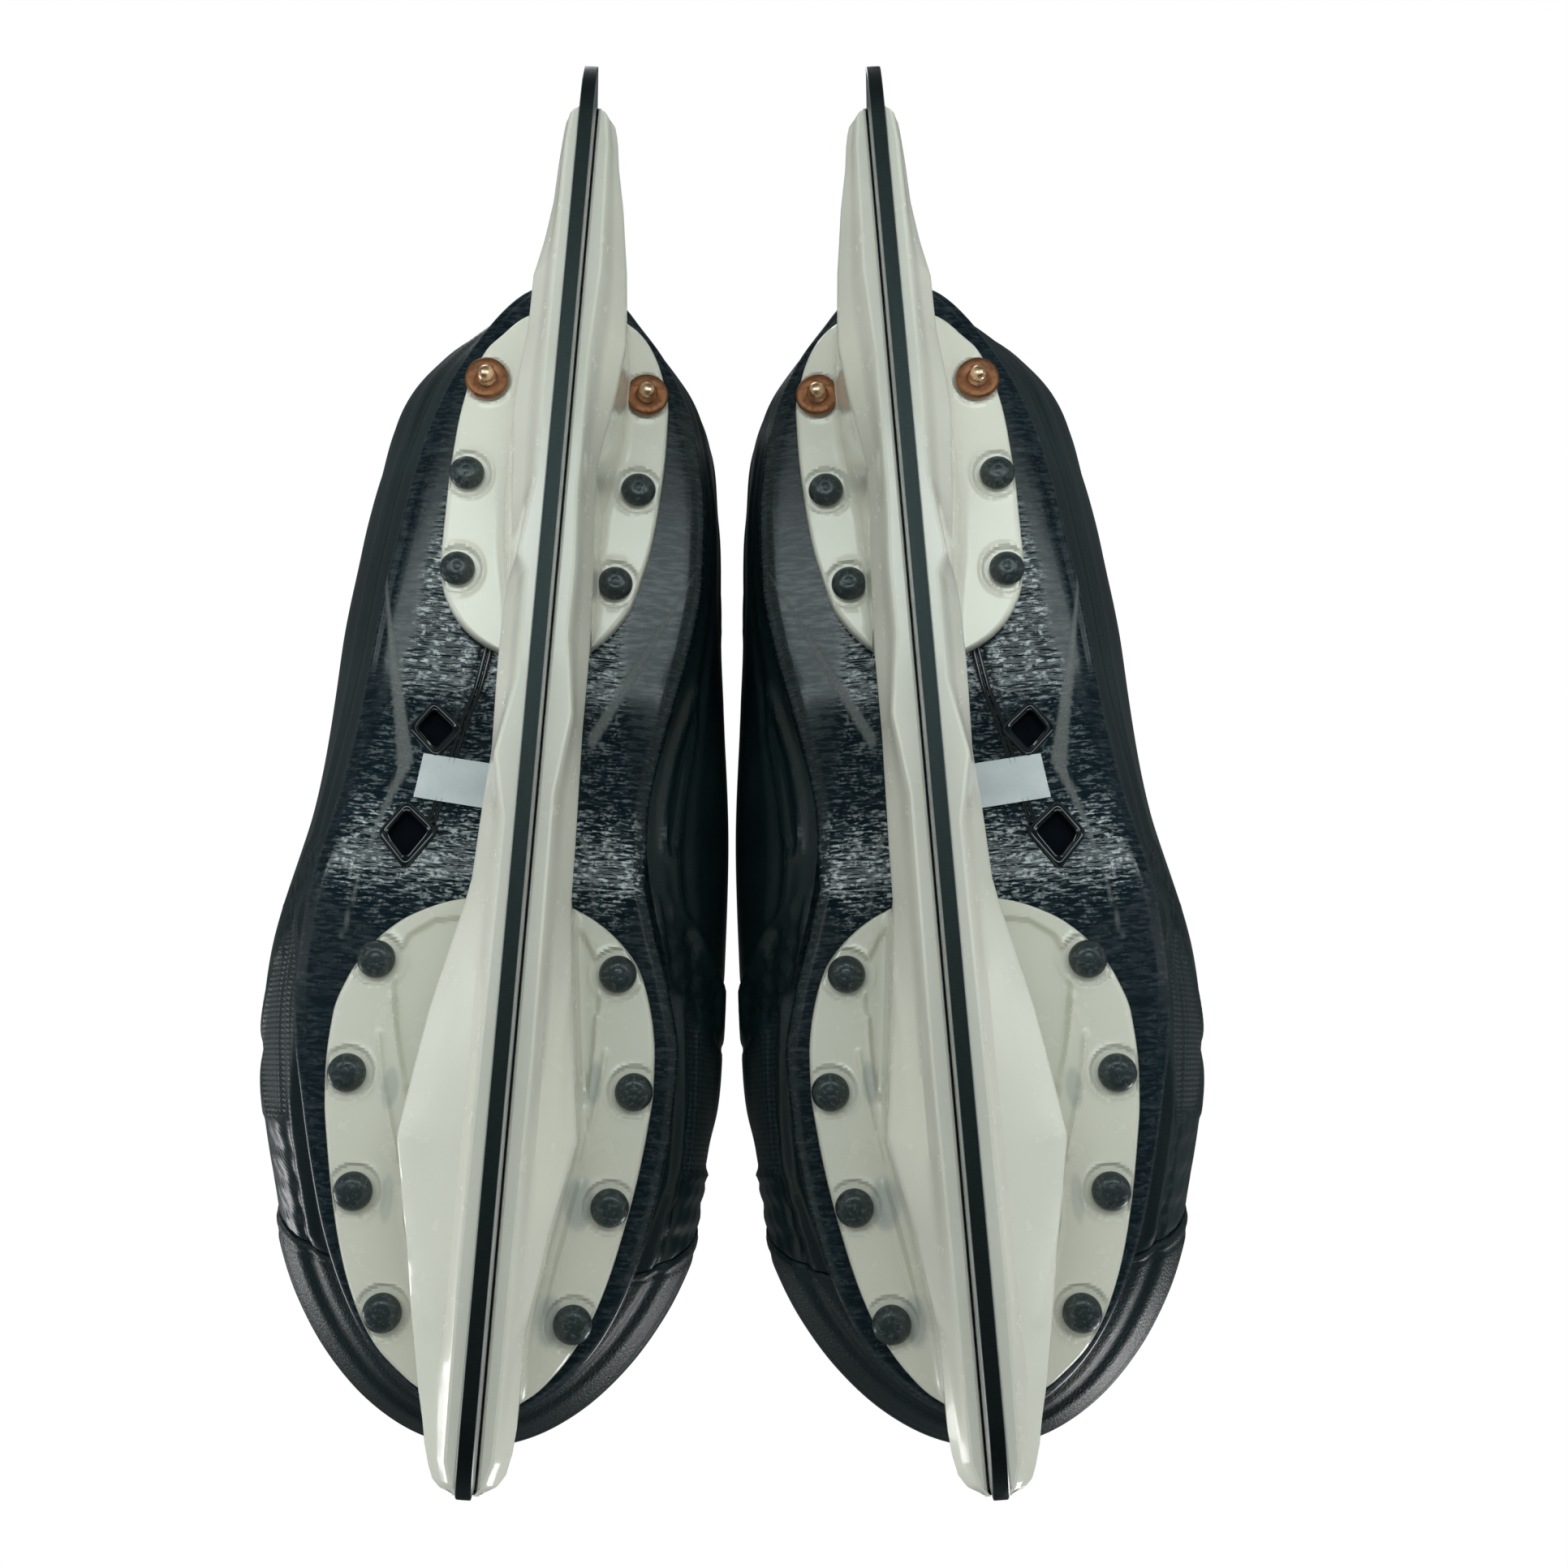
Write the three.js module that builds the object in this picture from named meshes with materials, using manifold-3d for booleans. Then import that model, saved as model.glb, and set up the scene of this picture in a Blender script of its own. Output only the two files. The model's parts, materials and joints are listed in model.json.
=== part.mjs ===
// Pair of ice hockey skates, standing on their runners.
// Frame: millimetres, +Z up, toes towards -Y, wearer's left foot at +X.
// Each skate is built in its own local frame (x outwards from the foot's inner
// side, t forwards from the runner's heel end, z up from the runner's edge) and
// placed by its group.
import * as THREE from 'three';
import initManifold from 'manifold-3d';

const wasm = await initManifold();
wasm.setup();

// ------------------------------------------------------- driving dimensions
const RUNNER_LENGTH = 277, RUNNER_THICK = 2.9, RUNNER_TOP = 25, EXPOSED = 15;
const FLAT_START = 75, FLAT_END = 195, TIP_LIFT = 9;
const SKATE_X = 28.1, SKATE_Y = 138.84;          // heel end of the left runner
const LEAN_DEG = 5, TOE_OUT_DEG = 3.68;
const GAP = 0.35;                                // between touching pieces
const HEEL_SEAT = 62, FORE_SEAT = 50, FLANGE = 4;
const OUTSOLE = 5, SHELL = 2.4, LINING = 4.2, LINING_GAP = 1.0, CAP_WALL = 2.6, FOOTBED = 4;
const RIVET_HEAD_R = 3.9, RIVET_HEAD_H = 2.2, RIVET_R = 1.9, HOLE_R = 2.3;
const WASHER_R = 4.9, WASHER_H = 1.0;
const BOLT_R = 2.5, BOLT_HEAD_R = 4.6, BOLT_HEAD_H = 3.5;
const REAR_LUG = [62, 78], FRONT_LUG = [206, 222], LUG_TOP = 36;

// rivet centres on the two flanges: [name, x outer, t outer, x inner, t inner]
const HEEL_RIVETS = [['heel_a', 22.0, 70.8, -16.6, 71.1], ['heel_b', 22.0, 93.3, -13.1, 93.6]];
const COPPER_RIVETS = [['heel', 19.7, 47.9, -16.8, 48.2]];
const FORE_RIVETS = [['fore_a', 29.2, 181.7, -20.2, 181.3], ['fore_b', 32.7, 204.9, -25.3, 205.0],
  ['fore_c', 29.0, 228.0, -22.2, 228.2], ['fore_d', 20.9, 250.9, -16.6, 251.1]];

// ------------------------------------------------------------ small helpers
const rad = THREE.MathUtils.degToRad;
const mix = (a, b, f) => a + (b - a) * f;
function table(rows, v, col = 1) {
  if (v <= rows[0][0]) return rows[0][col];
  for (let i = 1; i < rows.length; i++) {
    if (v <= rows[i][0]) return mix(rows[i - 1][col], rows[i][col], (v - rows[i - 1][0]) / (rows[i][0] - rows[i - 1][0]));
  }
  return rows[rows.length - 1][col];
}
const smooth = (a, b, v) => { const f = Math.min(1, Math.max(0, (v - a) / (b - a))); return f * f * (3 - 2 * f); };
const cr = (p0, p1, p2, p3, u) => 0.5 * (2 * p1 + (p2 - p0) * u + (2 * p0 - 5 * p1 + 4 * p2 - p3) * u * u + (3 * p1 - p0 - 3 * p2 + p3) * u * u * u);

// points per span along one line of control points
function refineLine(pts, n) {
  const out = [];
  for (let i = 0; i < pts.length - 1; i++) {
    const p1 = pts[i], p2 = pts[i + 1];
    const p0 = i > 0 ? pts[i - 1] : p1.map((v, k) => 2 * v - p2[k]);
    const p3 = i < pts.length - 2 ? pts[i + 2] : p2.map((v, k) => 2 * v - p1[k]);
    for (let s = 0; s < n; s++) out.push(p1.map((v, k) => cr(p0[k], p1[k], p2[k], p3[k], s / n)));
  }
  out.push(pts[pts.length - 1].slice());
  return out;
}
function refine(grid, nu, nv) {
  const rows = grid.map((line) => refineLine(line, nv));
  const cols = [];
  for (let j = 0; j < rows[0].length; j++) cols.push(refineLine(rows.map((r) => r[j]), nu));
  const out = [];
  for (let i = 0; i < cols[0].length; i++) out.push(cols.map((c) => c[i]));
  return out;
}
// unit normals of a grid of points, pointing to the side given by sign
function normals(grid, sign) {
  const a = new THREE.Vector3(), b = new THREE.Vector3();
  return grid.map((line, i) => line.map((p, j) => {
    const u0 = grid[Math.max(0, i - 1)][j], u1 = grid[Math.min(grid.length - 1, i + 1)][j];
    const v0 = line[Math.max(0, j - 1)], v1 = line[Math.min(line.length - 1, j + 1)];
    a.set(u1[0] - u0[0], u1[1] - u0[1], u1[2] - u0[2]);
    b.set(v1[0] - v0[0], v1[1] - v0[1], v1[2] - v0[2]);
    const n = a.cross(b).normalize().multiplyScalar(sign);
    return [n.x, n.y, n.z];
  }));
}
const offset = (grid, nrm, d) => grid.map((line, i) => line.map((p, j) => p.map((v, k) => v + nrm[i][j][k] * d)));

// closed body between two grids of the same size
function sheetBody(outer, inner) {
  const nu = outer.length, nv = outer[0].length, pos = [], idx = [];
  for (const g of [outer, inner]) for (const line of g) for (const p of line) pos.push(p);
  const id = (k, i, j) => k * nu * nv + i * nv + j;
  const quad = (a, b, c, d) => idx.push(a, b, c, a, c, d);
  for (let i = 0; i < nu - 1; i++) for (let j = 0; j < nv - 1; j++) {
    quad(id(0, i, j), id(0, i + 1, j), id(0, i + 1, j + 1), id(0, i, j + 1));
    quad(id(1, i, j), id(1, i, j + 1), id(1, i + 1, j + 1), id(1, i + 1, j));
  }
  for (let i = 0; i < nu - 1; i++) {
    quad(id(0, i, 0), id(1, i, 0), id(1, i + 1, 0), id(0, i + 1, 0));
    quad(id(0, i, nv - 1), id(0, i + 1, nv - 1), id(1, i + 1, nv - 1), id(1, i, nv - 1));
  }
  for (let j = 0; j < nv - 1; j++) {
    quad(id(0, 0, j), id(0, 0, j + 1), id(1, 0, j + 1), id(1, 0, j));
    quad(id(0, nu - 1, j), id(1, nu - 1, j), id(1, nu - 1, j + 1), id(0, nu - 1, j + 1));
  }
  return { pos, idx };
}
// loft through closed sections with the same number of points
function loft(sections) {
  const n = sections[0].length, pos = sections.flat(), idx = [];
  for (let s = 0; s < sections.length - 1; s++) for (let k = 0; k < n; k++) {
    const a = s * n + k, b = s * n + (k + 1) % n, c = (s + 1) * n + (k + 1) % n, d = (s + 1) * n + k;
    idx.push(a, b, c, a, c, d);
  }
  for (const [s, flip] of [[0, true], [sections.length - 1, false]]) {
    for (let k = 1; k < n - 1; k++) {
      const t = [s * n, s * n + k, s * n + k + 1];
      idx.push(...(flip ? [t[0], t[2], t[1]] : t));
    }
  }
  return { pos, idx };
}
function orient(body) {
  let vol = 0;
  const { pos, idx } = body;
  for (let i = 0; i < idx.length; i += 3) {
    const [a, b, c] = [pos[idx[i]], pos[idx[i + 1]], pos[idx[i + 2]]];
    vol += a[0] * (b[1] * c[2] - b[2] * c[1]) - a[1] * (b[0] * c[2] - b[2] * c[0]) + a[2] * (b[0] * c[1] - b[1] * c[0]);
  }
  if (vol < 0) for (let i = 0; i < idx.length; i += 3) [idx[i + 1], idx[i + 2]] = [idx[i + 2], idx[i + 1]];
  return body;
}
// local (x, t, z) of one skate to its group's axes
function localise(body, sx) {
  return orient({ pos: body.pos.map((p) => [sx * p[0], -p[1], p[2]]), idx: body.idx.slice() });
}
function toManifold(body) {
  const b = orient({ pos: body.pos, idx: body.idx.slice() });
  const v = new Float32Array(b.pos.length * 3);
  b.pos.forEach((p, i) => v.set(p, i * 3));
  return new wasm.Manifold(new wasm.Mesh({ numProp: 3, vertProperties: v, triVerts: new Uint32Array(b.idx) }));
}
function fromManifold(m) {
  const g = m.getMesh(), pos = [];
  for (let i = 0; i < g.vertProperties.length; i += g.numProp) pos.push([g.vertProperties[i], g.vertProperties[i + 1], g.vertProperties[i + 2]]);
  return { pos, idx: Array.from(g.triVerts) };
}
function fromGeometry(geo) {
  const p = geo.getAttribute('position'), pos = [], idx = [], seen = new Map(), map = [];
  for (let i = 0; i < p.count; i++) {
    const q = [p.getX(i), p.getY(i), p.getZ(i)], key = q.map((v) => Math.round(v * 1e4)).join();
    if (!seen.has(key)) { seen.set(key, pos.length); pos.push(q); }
    map.push(seen.get(key));
  }
  const n = geo.index ? geo.index.count : p.count;
  for (let i = 0; i < n; i += 3) {
    const t = [0, 1, 2].map((k) => map[geo.index ? geo.index.getX(i + k) : i + k]);
    if (t[0] !== t[1] && t[1] !== t[2] && t[0] !== t[2]) idx.push(...t);
  }
  return { pos, idx };
}
// turned piece about the local z axis through (x, t); profile is [radius, z] pairs
function turned(profile, x, t, seg) {
  const geo = new THREE.LatheGeometry(profile.map(([r, z]) => new THREE.Vector2(r, z)), seg);
  geo.rotateX(Math.PI / 2);
  geo.translate(x, t, 0);
  return fromGeometry(geo);
}
function box(x0, x1, t0, t1, z0, z1) {
  const geo = new THREE.BoxGeometry(x1 - x0, t1 - t0, z1 - z0);
  geo.translate((x0 + x1) / 2, (t0 + t1) / 2, (z0 + z1) / 2);
  return fromGeometry(geo);
}
function plate(outline, z0, z1) {
  const shape = new THREE.Shape(outline.map(([x, t]) => new THREE.Vector2(x, t)));
  const geo = new THREE.ExtrudeGeometry(shape, { depth: z1 - z0, bevelEnabled: false, steps: 1 });
  geo.translate(0, 0, z0);
  return fromGeometry(geo);
}

// ------------------------------------------------------------ sole geometry
const soleZ = (t) => mix(HEEL_SEAT + 0.3, FORE_SEAT + 0.3, smooth(114, 166, t)) + 2.0 * smooth(258, 274, t);
// outer and inner edge of the outsole along t
const SOLE = [[20, 9, -5], [23, 14, -9.5], [28, 18.5, -14], [36, 23.5, -20.5], [47, 29, -26.5], [60, 33, -30.5], [75, 35.6, -32.6],
  [90, 37.6, -33], [104, 39.2, -31.5], [118, 40.2, -28.7], [132, 41, -26], [146, 42.2, -24.4], [158, 44, -24.4], [170, 45.8, -27],
  [184, 46.4, -31.5], [198, 45, -34.4], [211, 42.2, -34], [223, 39.2, -32.6], [235, 35.6, -30.2], [246, 31, -27], [255, 25.8, -22.8],
  [262, 20, -17.5], [267, 14, -12], [270.5, 8, -5.5]];

function outsole() {
  return loft(SOLE.map(([t, a, b]) => {
    const z = soleZ(t), r = Math.min(3, (a - b) / 6);
    return [[a - r, t, z], [a - 0.8, t, z + 0.9], [a, t, z + 2.6], [a - 0.2, t, z + OUTSOLE],
      [a - r - 2, t, z + OUTSOLE], [b + r + 2, t, z + OUTSOLE],
      [b + 0.2, t, z + OUTSOLE], [b, t, z + 2.6], [b + 0.8, t, z + 0.9], [b + r, t, z]];
  }));
}
function footbed() {
  const z0 = OUTSOLE + GAP;
  return loft(SOLE.filter(([t]) => t > 30 && t < 262).map(([t, a, b]) => {
    const z = soleZ(t) + z0, arch = 3.5 * smooth(90, 125, t) * (1 - smooth(150, 185, t));
    const x1 = a - 11, x0 = b + 11, cup = 2.5 * (1 - smooth(60, 110, t));
    return [[x1, t, z], [x1, t, z + FOOTBED + cup], [mix(x1, x0, 0.3), t, z + FOOTBED], [mix(x1, x0, 0.75), t, z + FOOTBED + arch * 0.4],
      [x0, t, z + FOOTBED + arch + cup], [x0, t, z], [mix(x1, x0, 0.5), t, z]];
  }));
}

// ----------------------------------------------------------- upper geometry
// rows: feather line, low side, widest, middle, upper, top edge
const LEVEL = [0, 0.14, 0.34, 0.6, 0.82, 1];
const ST_T0 = [242, 215, 185, 150, 118, 88, 60, 36], ST_T1 = [214, 190, 163, 137, 118, 104, 76, 47];
const ROW_Z = [null, null, [74, 79, 83, 89, 95, 97, 96, 94], [89, 96, 103, 116, 133, 142, 142, 140],
  [98, 107, 120, 141, 165, 181, 178, 175], [103, 113, 130, 155, 181, 211, 203, 203]];
const OUTER_X = [[32.6, 41.0, 46.2, 42.7, 40.1, 37.4, 33, 23.5], null, [47.5, 54.8, 56.5, 51.6, 48.8, 47, 43.5, 35.5],
  [42, 49, 50, 48, 47.5, 47, 44.5, 33.5], [30, 34, 34.5, 35, 39, 42.5, 42.5, 33.5], [20.5, 21.5, 22, 23, 26, 31, 42, 35]];
const INNER_X = [[-28.1, -33.5, -31.7, -24.3, -28.7, -33, -30.5, -20.5], null, [-42, -44.9, -45.2, -44.6, -42.4, -39.5, -37, -29.5],
  [-36.5, -41, -42, -42.5, -42, -42, -40, -28.5], [-25, -28, -29, -32, -37, -40.5, -40.5, -30], [-17, -18, -19, -20, -23, -28, -39.5, -32]];
const HEEL_LINE = [[2.2, 18.2], [2.4, 15], [2.5, 13], [2.5, 17], [2.5, 23.5], [2.5, 25.5]], HEEL_Z = [null, 77, 94, 132, 172, 205];
const feather = (t) => soleZ(t) + OUTSOLE + GAP + 0.15;

function sideRib(X, s) {
  const t0 = ST_T0[s], t1 = ST_T1[s], zf = feather(t0);
  return LEVEL.map((v, k) => {
    const t = mix(t0, t1, v);
    if (k === 0) return [X[0][s], t0, zf];
    if (k === 1) return [mix(X[0][s], X[2][s], 0.66), t, zf + 0.4 * (ROW_Z[2][s] - zf)];
    return [X[k][s], t, ROW_Z[k][s]];
  });
}
function upperControl() {
  const grid = [];
  for (let s = 0; s < 8; s++) grid.push(sideRib(OUTER_X, s));
  grid.push(HEEL_LINE.map(([x, t], k) => [x, t, k === 0 ? feather(t) : HEEL_Z[k]]));
  for (let s = 7; s >= 0; s--) grid.push(sideRib(INNER_X, s));
  return grid;
}
const HEEL_STATION = 8;
const upperCtl = upperControl();
// sign that makes grid normals point away from the foot
const OUT = (() => {
  const g = refine(upperCtl, 1, 1), n = normals(g, 1);
  return Math.sign(n[2][2][0]) || 1;
})();

function quarter(side) {
  const nu = 2, nv = 2, all = refine(upperCtl, nu, nv), nrm = normals(all, OUT);
  const inn = offset(all, nrm, -SHELL);
  const mid = HEEL_STATION * nu;
  const pick = (g) => (side === 'outer' ? g.slice(0, mid + 1) : g.slice(mid));
  const o = pick(all).map((l) => l.map((p) => p.slice())), i = pick(inn).map((l) => l.map((p) => p.slice()));
  const end = side === 'outer' ? o.length - 1 : 0, s = side === 'outer' ? 1 : -1;
  for (const g of [o, i]) for (const p of g[end]) p[0] += s * 0.25;
  const front = side === 'outer' ? 0 : o.length - 1;
  for (const g of [o, i]) for (const p of g[front]) p[1] -= 0.3;
  return sheetBody(o, i);
}
// lining behind both quarters, from facing to facing
function liner() {
  const all = refine(upperCtl, 2, 2), nrm = normals(all, OUT);
  const top = all[0].length - 1;
  const shape = (d) => all.map((line, i) => line.map((p, j) => {
    const q = p.map((v, k) => v - nrm[i][j][k] * d);
    const edge = i === 0 || i === all.length - 1;
    if (edge) q[1] -= 2.5;
    if (j === 0) q[2] = Math.max(q[2], p[2] + 1.2);
    if (j === top && i > 10 && i < all.length - 11) q[2] += 3.0;
    return q;
  }));
  return sheetBody(shape(SHELL + LINING_GAP), shape(SHELL + LINING_GAP + LINING));
}
// eyelet stay along one side of the throat, lying on the quarter
function facing(side) {
  const nu = 2, nv = 2, all = refine(upperCtl, nu, nv), nrm = normals(all, OUT);
  const last = all[0].length - 1, n = 5 * nu;
  const cols = side === 'outer' ? [...Array(n + 1).keys()] : [...Array(n + 1).keys()].map((k) => all.length - 1 - k);
  const build = (d) => cols.map((c) => [last - 2, last - 1, last].map((j) => all[c][j].map((v, k) => v + nrm[c][j][k] * d)));
  const o = build(GAP + 1.6), i = build(GAP);
  for (const g of [o, i]) for (const p of g[0]) p[1] -= 0.3;
  return sheetBody(o, i);
}
// toe cap: rings round the toe between the two joints with the quarters
function toeCap() {
  const tip = [[3, 270.8, 0], [2.8, 276, 65], [2, 279, 74.5], [1.5, 271.5, 88], [1.5, 250, 97.5], [2, 216.5, 104.5]];
  const pw = [1.9, 1.6, 1.4, 1.25, 1.1, 1];
  const L = upperCtl[0], R = upperCtl[upperCtl.length - 1], grid = [];
  const N = 12;
  for (let i = 0; i <= N; i++) {
    const phi = (i / N) * Math.PI, side = phi <= Math.PI / 2 ? L : R;
    const c = Math.abs(Math.cos(phi)), s = Math.sin(phi);
    grid.push(tip.map(([tx, tt, tz], k) => {
      const j = side[k], z0 = j[2], zt = k === 0 ? feather(tt) : tz;
      const t = mix(j[1] + 0.3, tt, Math.pow(s, pw[k]));
      const x = mix(tx, j[0], c);
      return [x, t, k === 0 ? feather(t) : mix(z0, zt, Math.pow(s, 1.4))];
    }));
  }
  const g = refine(grid, 1, 2), nrm = normals(g, 1), sg = Math.sign(nrm[6][4][1]) || 1;
  const n2 = normals(g, sg);
  return sheetBody(g, offset(g, n2, -CAP_WALL));
}
// tongue: bridges the throat inside the stays, then stands above them
function tongue() {
  const rows = [];
  const inset = [3.5, 4.5, 5, 5, 4.5, 4];
  for (let s = 0; s < 6; s++) {
    const a = upperCtl[s][5], b = upperCtl[upperCtl.length - 1 - s][5];
    const x1 = a[0] - 6, x0 = b[0] + 6, z = (a[2] + b[2]) / 2 - inset[s] * 0.8 + 3, t = (a[1] + b[1]) / 2 - 1.5 - inset[s] * 0.4;
    rows.push([x1, x0, t - (s === 0 ? 2.5 : 0), z]);
  }
  rows.push([34, -31, 104.5, 230], [35, -32, 110, 247]);
  const crown = [3.5, 4.5, 6, 8, 11, 15, 16, 15];
  const grid = rows.map(([x1, x0, t, z], r) => {
    const line = [], up = r < 5 ? 0.75 : 0.15, fw = r < 5 ? 0.5 : 1;
    for (let k = 0; k <= 6; k++) {
      const u = k / 6, bow = crown[r] * (1 - Math.pow(Math.abs(2 * u - 1), 2.2)) - crown[r] * 0.45;
      line.push([mix(x1, x0, u), t + bow * fw, z + bow * up]);
    }
    return line;
  });
  const g = refine(grid, 1, 1), nrm = normals(g, 1), sg = Math.sign(nrm[3][3][2]) || 1;
  const n2 = normals(g, sg);
  const thick = [4.5, 6, 7, 7, 7, 7, 7, 5];
  const inner = g.map((line, i) => line.map((p, j) => p.map((v, k) => v - n2[i][j][k] * thick[i])));
  return sheetBody(g, inner);
}
// tendon guard: stands up the back of the ankle outside the shell
const GUARD_BASE = 172, GUARD_TOP = 256;
function tendonGuard() {
  const all = refine(upperCtl, 4, 6), nrm = normals(all, OUT), mid = HEEL_STATION * 4;
  const heights = [GUARD_BASE, 184, 196, 206, 220, 236, 249, GUARD_TOP];
  const halfCols = [2.4, 2.6, 2.7, 2.7, 2.6, 2.4, 2.0, 1.3];
  const at = (c, z) => {
    const c0 = Math.floor(c), f = c - c0, pick = (ci) => {
      const line = all[ci];
      let j = 1;
      while (j < line.length - 1 && line[j][2] < z) j++;
      const a = line[j - 1], b = line[j], u = Math.min(1, (z - a[2]) / (b[2] - a[2]));
      const q = a.map((v, k) => mix(v, b[k], u)), n = nrm[ci][j];
      return [q, n];
    };
    const [q0, n0] = pick(c0), [q1, n1] = pick(Math.min(c0 + 1, all.length - 1));
    return [q0.map((v, k) => mix(v, q1[k], f)), n0.map((v, k) => mix(v, n1[k], f))];
  };
  const build = (d) => heights.map((z, r) => {
    const line = [];
    for (let k = -3; k <= 3; k++) {
      const [q, n] = at(mid + (k / 3) * halfCols[r], Math.min(z, 201));
      const h = Math.hypot(n[0], n[1]), lift = Math.max(0, z - 201);
      line.push([q[0] + (n[0] / h) * d, q[1] + (n[1] / h) * d - lift * 0.12, z]);
    }
    return line;
  });
  return sheetBody(build(0.8 + 3.4), build(0.8));
}

// ---------------------------------------------------------- holder geometry
const HEEL_FLANGE = [[12.7, 31.5], [17.1, 36.0], [20.8, 40.6], [23.7, 49.5], [25.4, 60.1], [25.9, 76.1], [26.1, 90.7], [22.6, 102.5],
  [18.8, 107.1], [11.3, 110.8], [2, 113], [-9, 108.8], [-14.1, 103.4], [-17.1, 98.2], [-20.7, 82.7], [-22, 61.3], [-22, 51.5],
  [-17.8, 37.5], [-11.4, 29.9], [0, 28.5]];
const FORE_FLANGE = [[13, 167.8], [25.6, 173.5], [31.3, 179.4], [34.9, 185.8], [37.2, 197], [36.8, 210.5], [32.8, 231.4], [26.2, 250.4],
  [21.9, 257.1], [16.6, 262.0], [10, 265.6], [2, 267.6], [-7.7, 266.6], [-13.4, 261.7], [-17.7, 255.6], [-23.3, 241.7], [-27.6, 221.6],
  [-29.4, 205.1], [-28.5, 192.0], [-24.5, 179.7], [-15.2, 170.7], [-10.0, 168.3], [2, 166.3]];
// keel: t, outer half width, inner half width, shoulder z, top z
const KEEL = [[5, 3.4, 3.4, 20, 23], [8, 5.2, 5.6, 21, 27], [14, 5.4, 6.8, 22, 33], [22, 6.4, 8, 24, 45], [30, 7.2, 9, 26, 56], [45, 9.4, 9.6, 28, 57],
  [75, 10.6, 9, 29, 57], [104, 10.6, 8.6, 29, 56], [116, 10.2, 8.8, 28, 47], [134, 10, 9, 27, 41], [150, 11.6, 9.4, 27, 39.5], [164, 13, 10, 27, 42],
  [176, 14.2, 11, 27.5, 45], [198, 16, 12.4, 28, 45], [221, 17, 13, 28, 45], [240, 13.6, 11, 25, 45], [258, 9.6, 9, 22, 44], [264, 8.2, 8.2, 21, 38],
  [269, 6.6, 7, 20, 30], [273, 4.8, 5, 19, 25], [275, 3.2, 3.2, 18.5, 22.5]];

function keel() {
  return loft(KEEL.map(([t, a, b, zs, zt]) => {
    const low = Math.min(4.4, a), lowb = Math.min(4.4, b), u = 0.72;
    return [[low, t, EXPOSED], [a * 0.94, t, mix(EXPOSED, zs, 0.55)], [a, t, zs], [a * u, t, zt],
      [-b * u, t, zt], [-b, t, zs], [-b * 0.94, t, mix(EXPOSED, zs, 0.55)], [-lowb, t, EXPOSED]];
  }));
}
// tower: lens-shaped sections that open out under the flange
function tower(levels, n) {
  return loft(levels.map(([z, t0, t1, a, b]) => {
    const tc = (t0 + t1) / 2, h = (t1 - t0) / 2, line = [];
    for (let k = 0; k < n; k++) {
      const w = (k / n) * Math.PI * 2, cs = Math.cos(w), sn = Math.sin(w);
      const x = cs >= 0 ? a * Math.pow(cs, 0.8) : -b * Math.pow(-cs, 0.8);
      line.push([x, tc + h * sn, z]);
    }
    return line;
  }));
}
function holder() {
  let m = toManifold(keel());
  const add = (b) => { m = m.add(toManifold(b)); };
  add(tower([[27, 24, 116, 9.4, 8.4], [42, 27, 115, 10.2, 9], [52, 29, 113, 12.5, 11], [56, 31, 110, 15.5, 14], [58.6, 32, 109, 18.5, 16.5]], 16));
  add(tower([[26, 172, 262, 15.5, 12], [36, 172, 262, 16.5, 13], [42, 172, 262, 19, 15.5], [46.6, 171, 262, 24, 19.5]], 16));
  add(plate(HEEL_FLANGE, HEEL_SEAT - FLANGE, HEEL_SEAT));
  add(plate(FORE_FLANGE, FORE_SEAT - FLANGE, FORE_SEAT));
  const cut = (b) => { m = m.subtract(toManifold(b)); };
  const w = RUNNER_THICK / 2 + 0.3;
  cut(box(-w, w, -5, 285, 5, RUNNER_TOP + 0.3));
  for (const [t0, t1] of [REAR_LUG, FRONT_LUG]) cut(box(-w, w, t0 - 0.4, t1 + 0.4, 20, LUG_TOP + 0.4));
  for (const [[t0, t1], top] of [[REAR_LUG, HEEL_SEAT], [FRONT_LUG, FORE_SEAT]]) {
    const t = (t0 + t1) / 2;
    cut(turned([[0, 30], [BOLT_R + 0.35, 30], [BOLT_R + 0.35, top - BOLT_HEAD_H - 1], [BOLT_HEAD_R + 0.4, top - BOLT_HEAD_H - 1], [BOLT_HEAD_R + 0.4, top + 1], [0, top + 1]], 0, t, 10));
  }
  for (const [list, z] of [[HEEL_RIVETS, HEEL_SEAT], [COPPER_RIVETS, HEEL_SEAT], [FORE_RIVETS, FORE_SEAT]]) {
    for (const [, xa, ta, xb, tb] of list) for (const [x, t] of [[xa, ta], [xb, tb]]) {
      cut(turned([[0, z - FLANGE - 1.5], [HOLE_R, z - FLANGE - 1.5], [HOLE_R, z + 1], [0, z + 1]], x, t, 8));
      cut(turned([[0, z - FLANGE - 12], [RIVET_HEAD_R + 1.1, z - FLANGE - 12], [RIVET_HEAD_R + 1.1, z - FLANGE], [0, z - FLANGE]], x, t, 12));
    }
  }
  return fromManifold(m);
}
function bolt([t0, t1], top) {
  return turned([[0, LUG_TOP + 0.8], [BOLT_R, LUG_TOP + 0.8], [BOLT_R, top - BOLT_HEAD_H - 0.6], [BOLT_HEAD_R, top - BOLT_HEAD_H - 0.6], [BOLT_HEAD_R, top - 0.6], [0, top - 0.6]], 0, (t0 + t1) / 2, 10);
}
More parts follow.
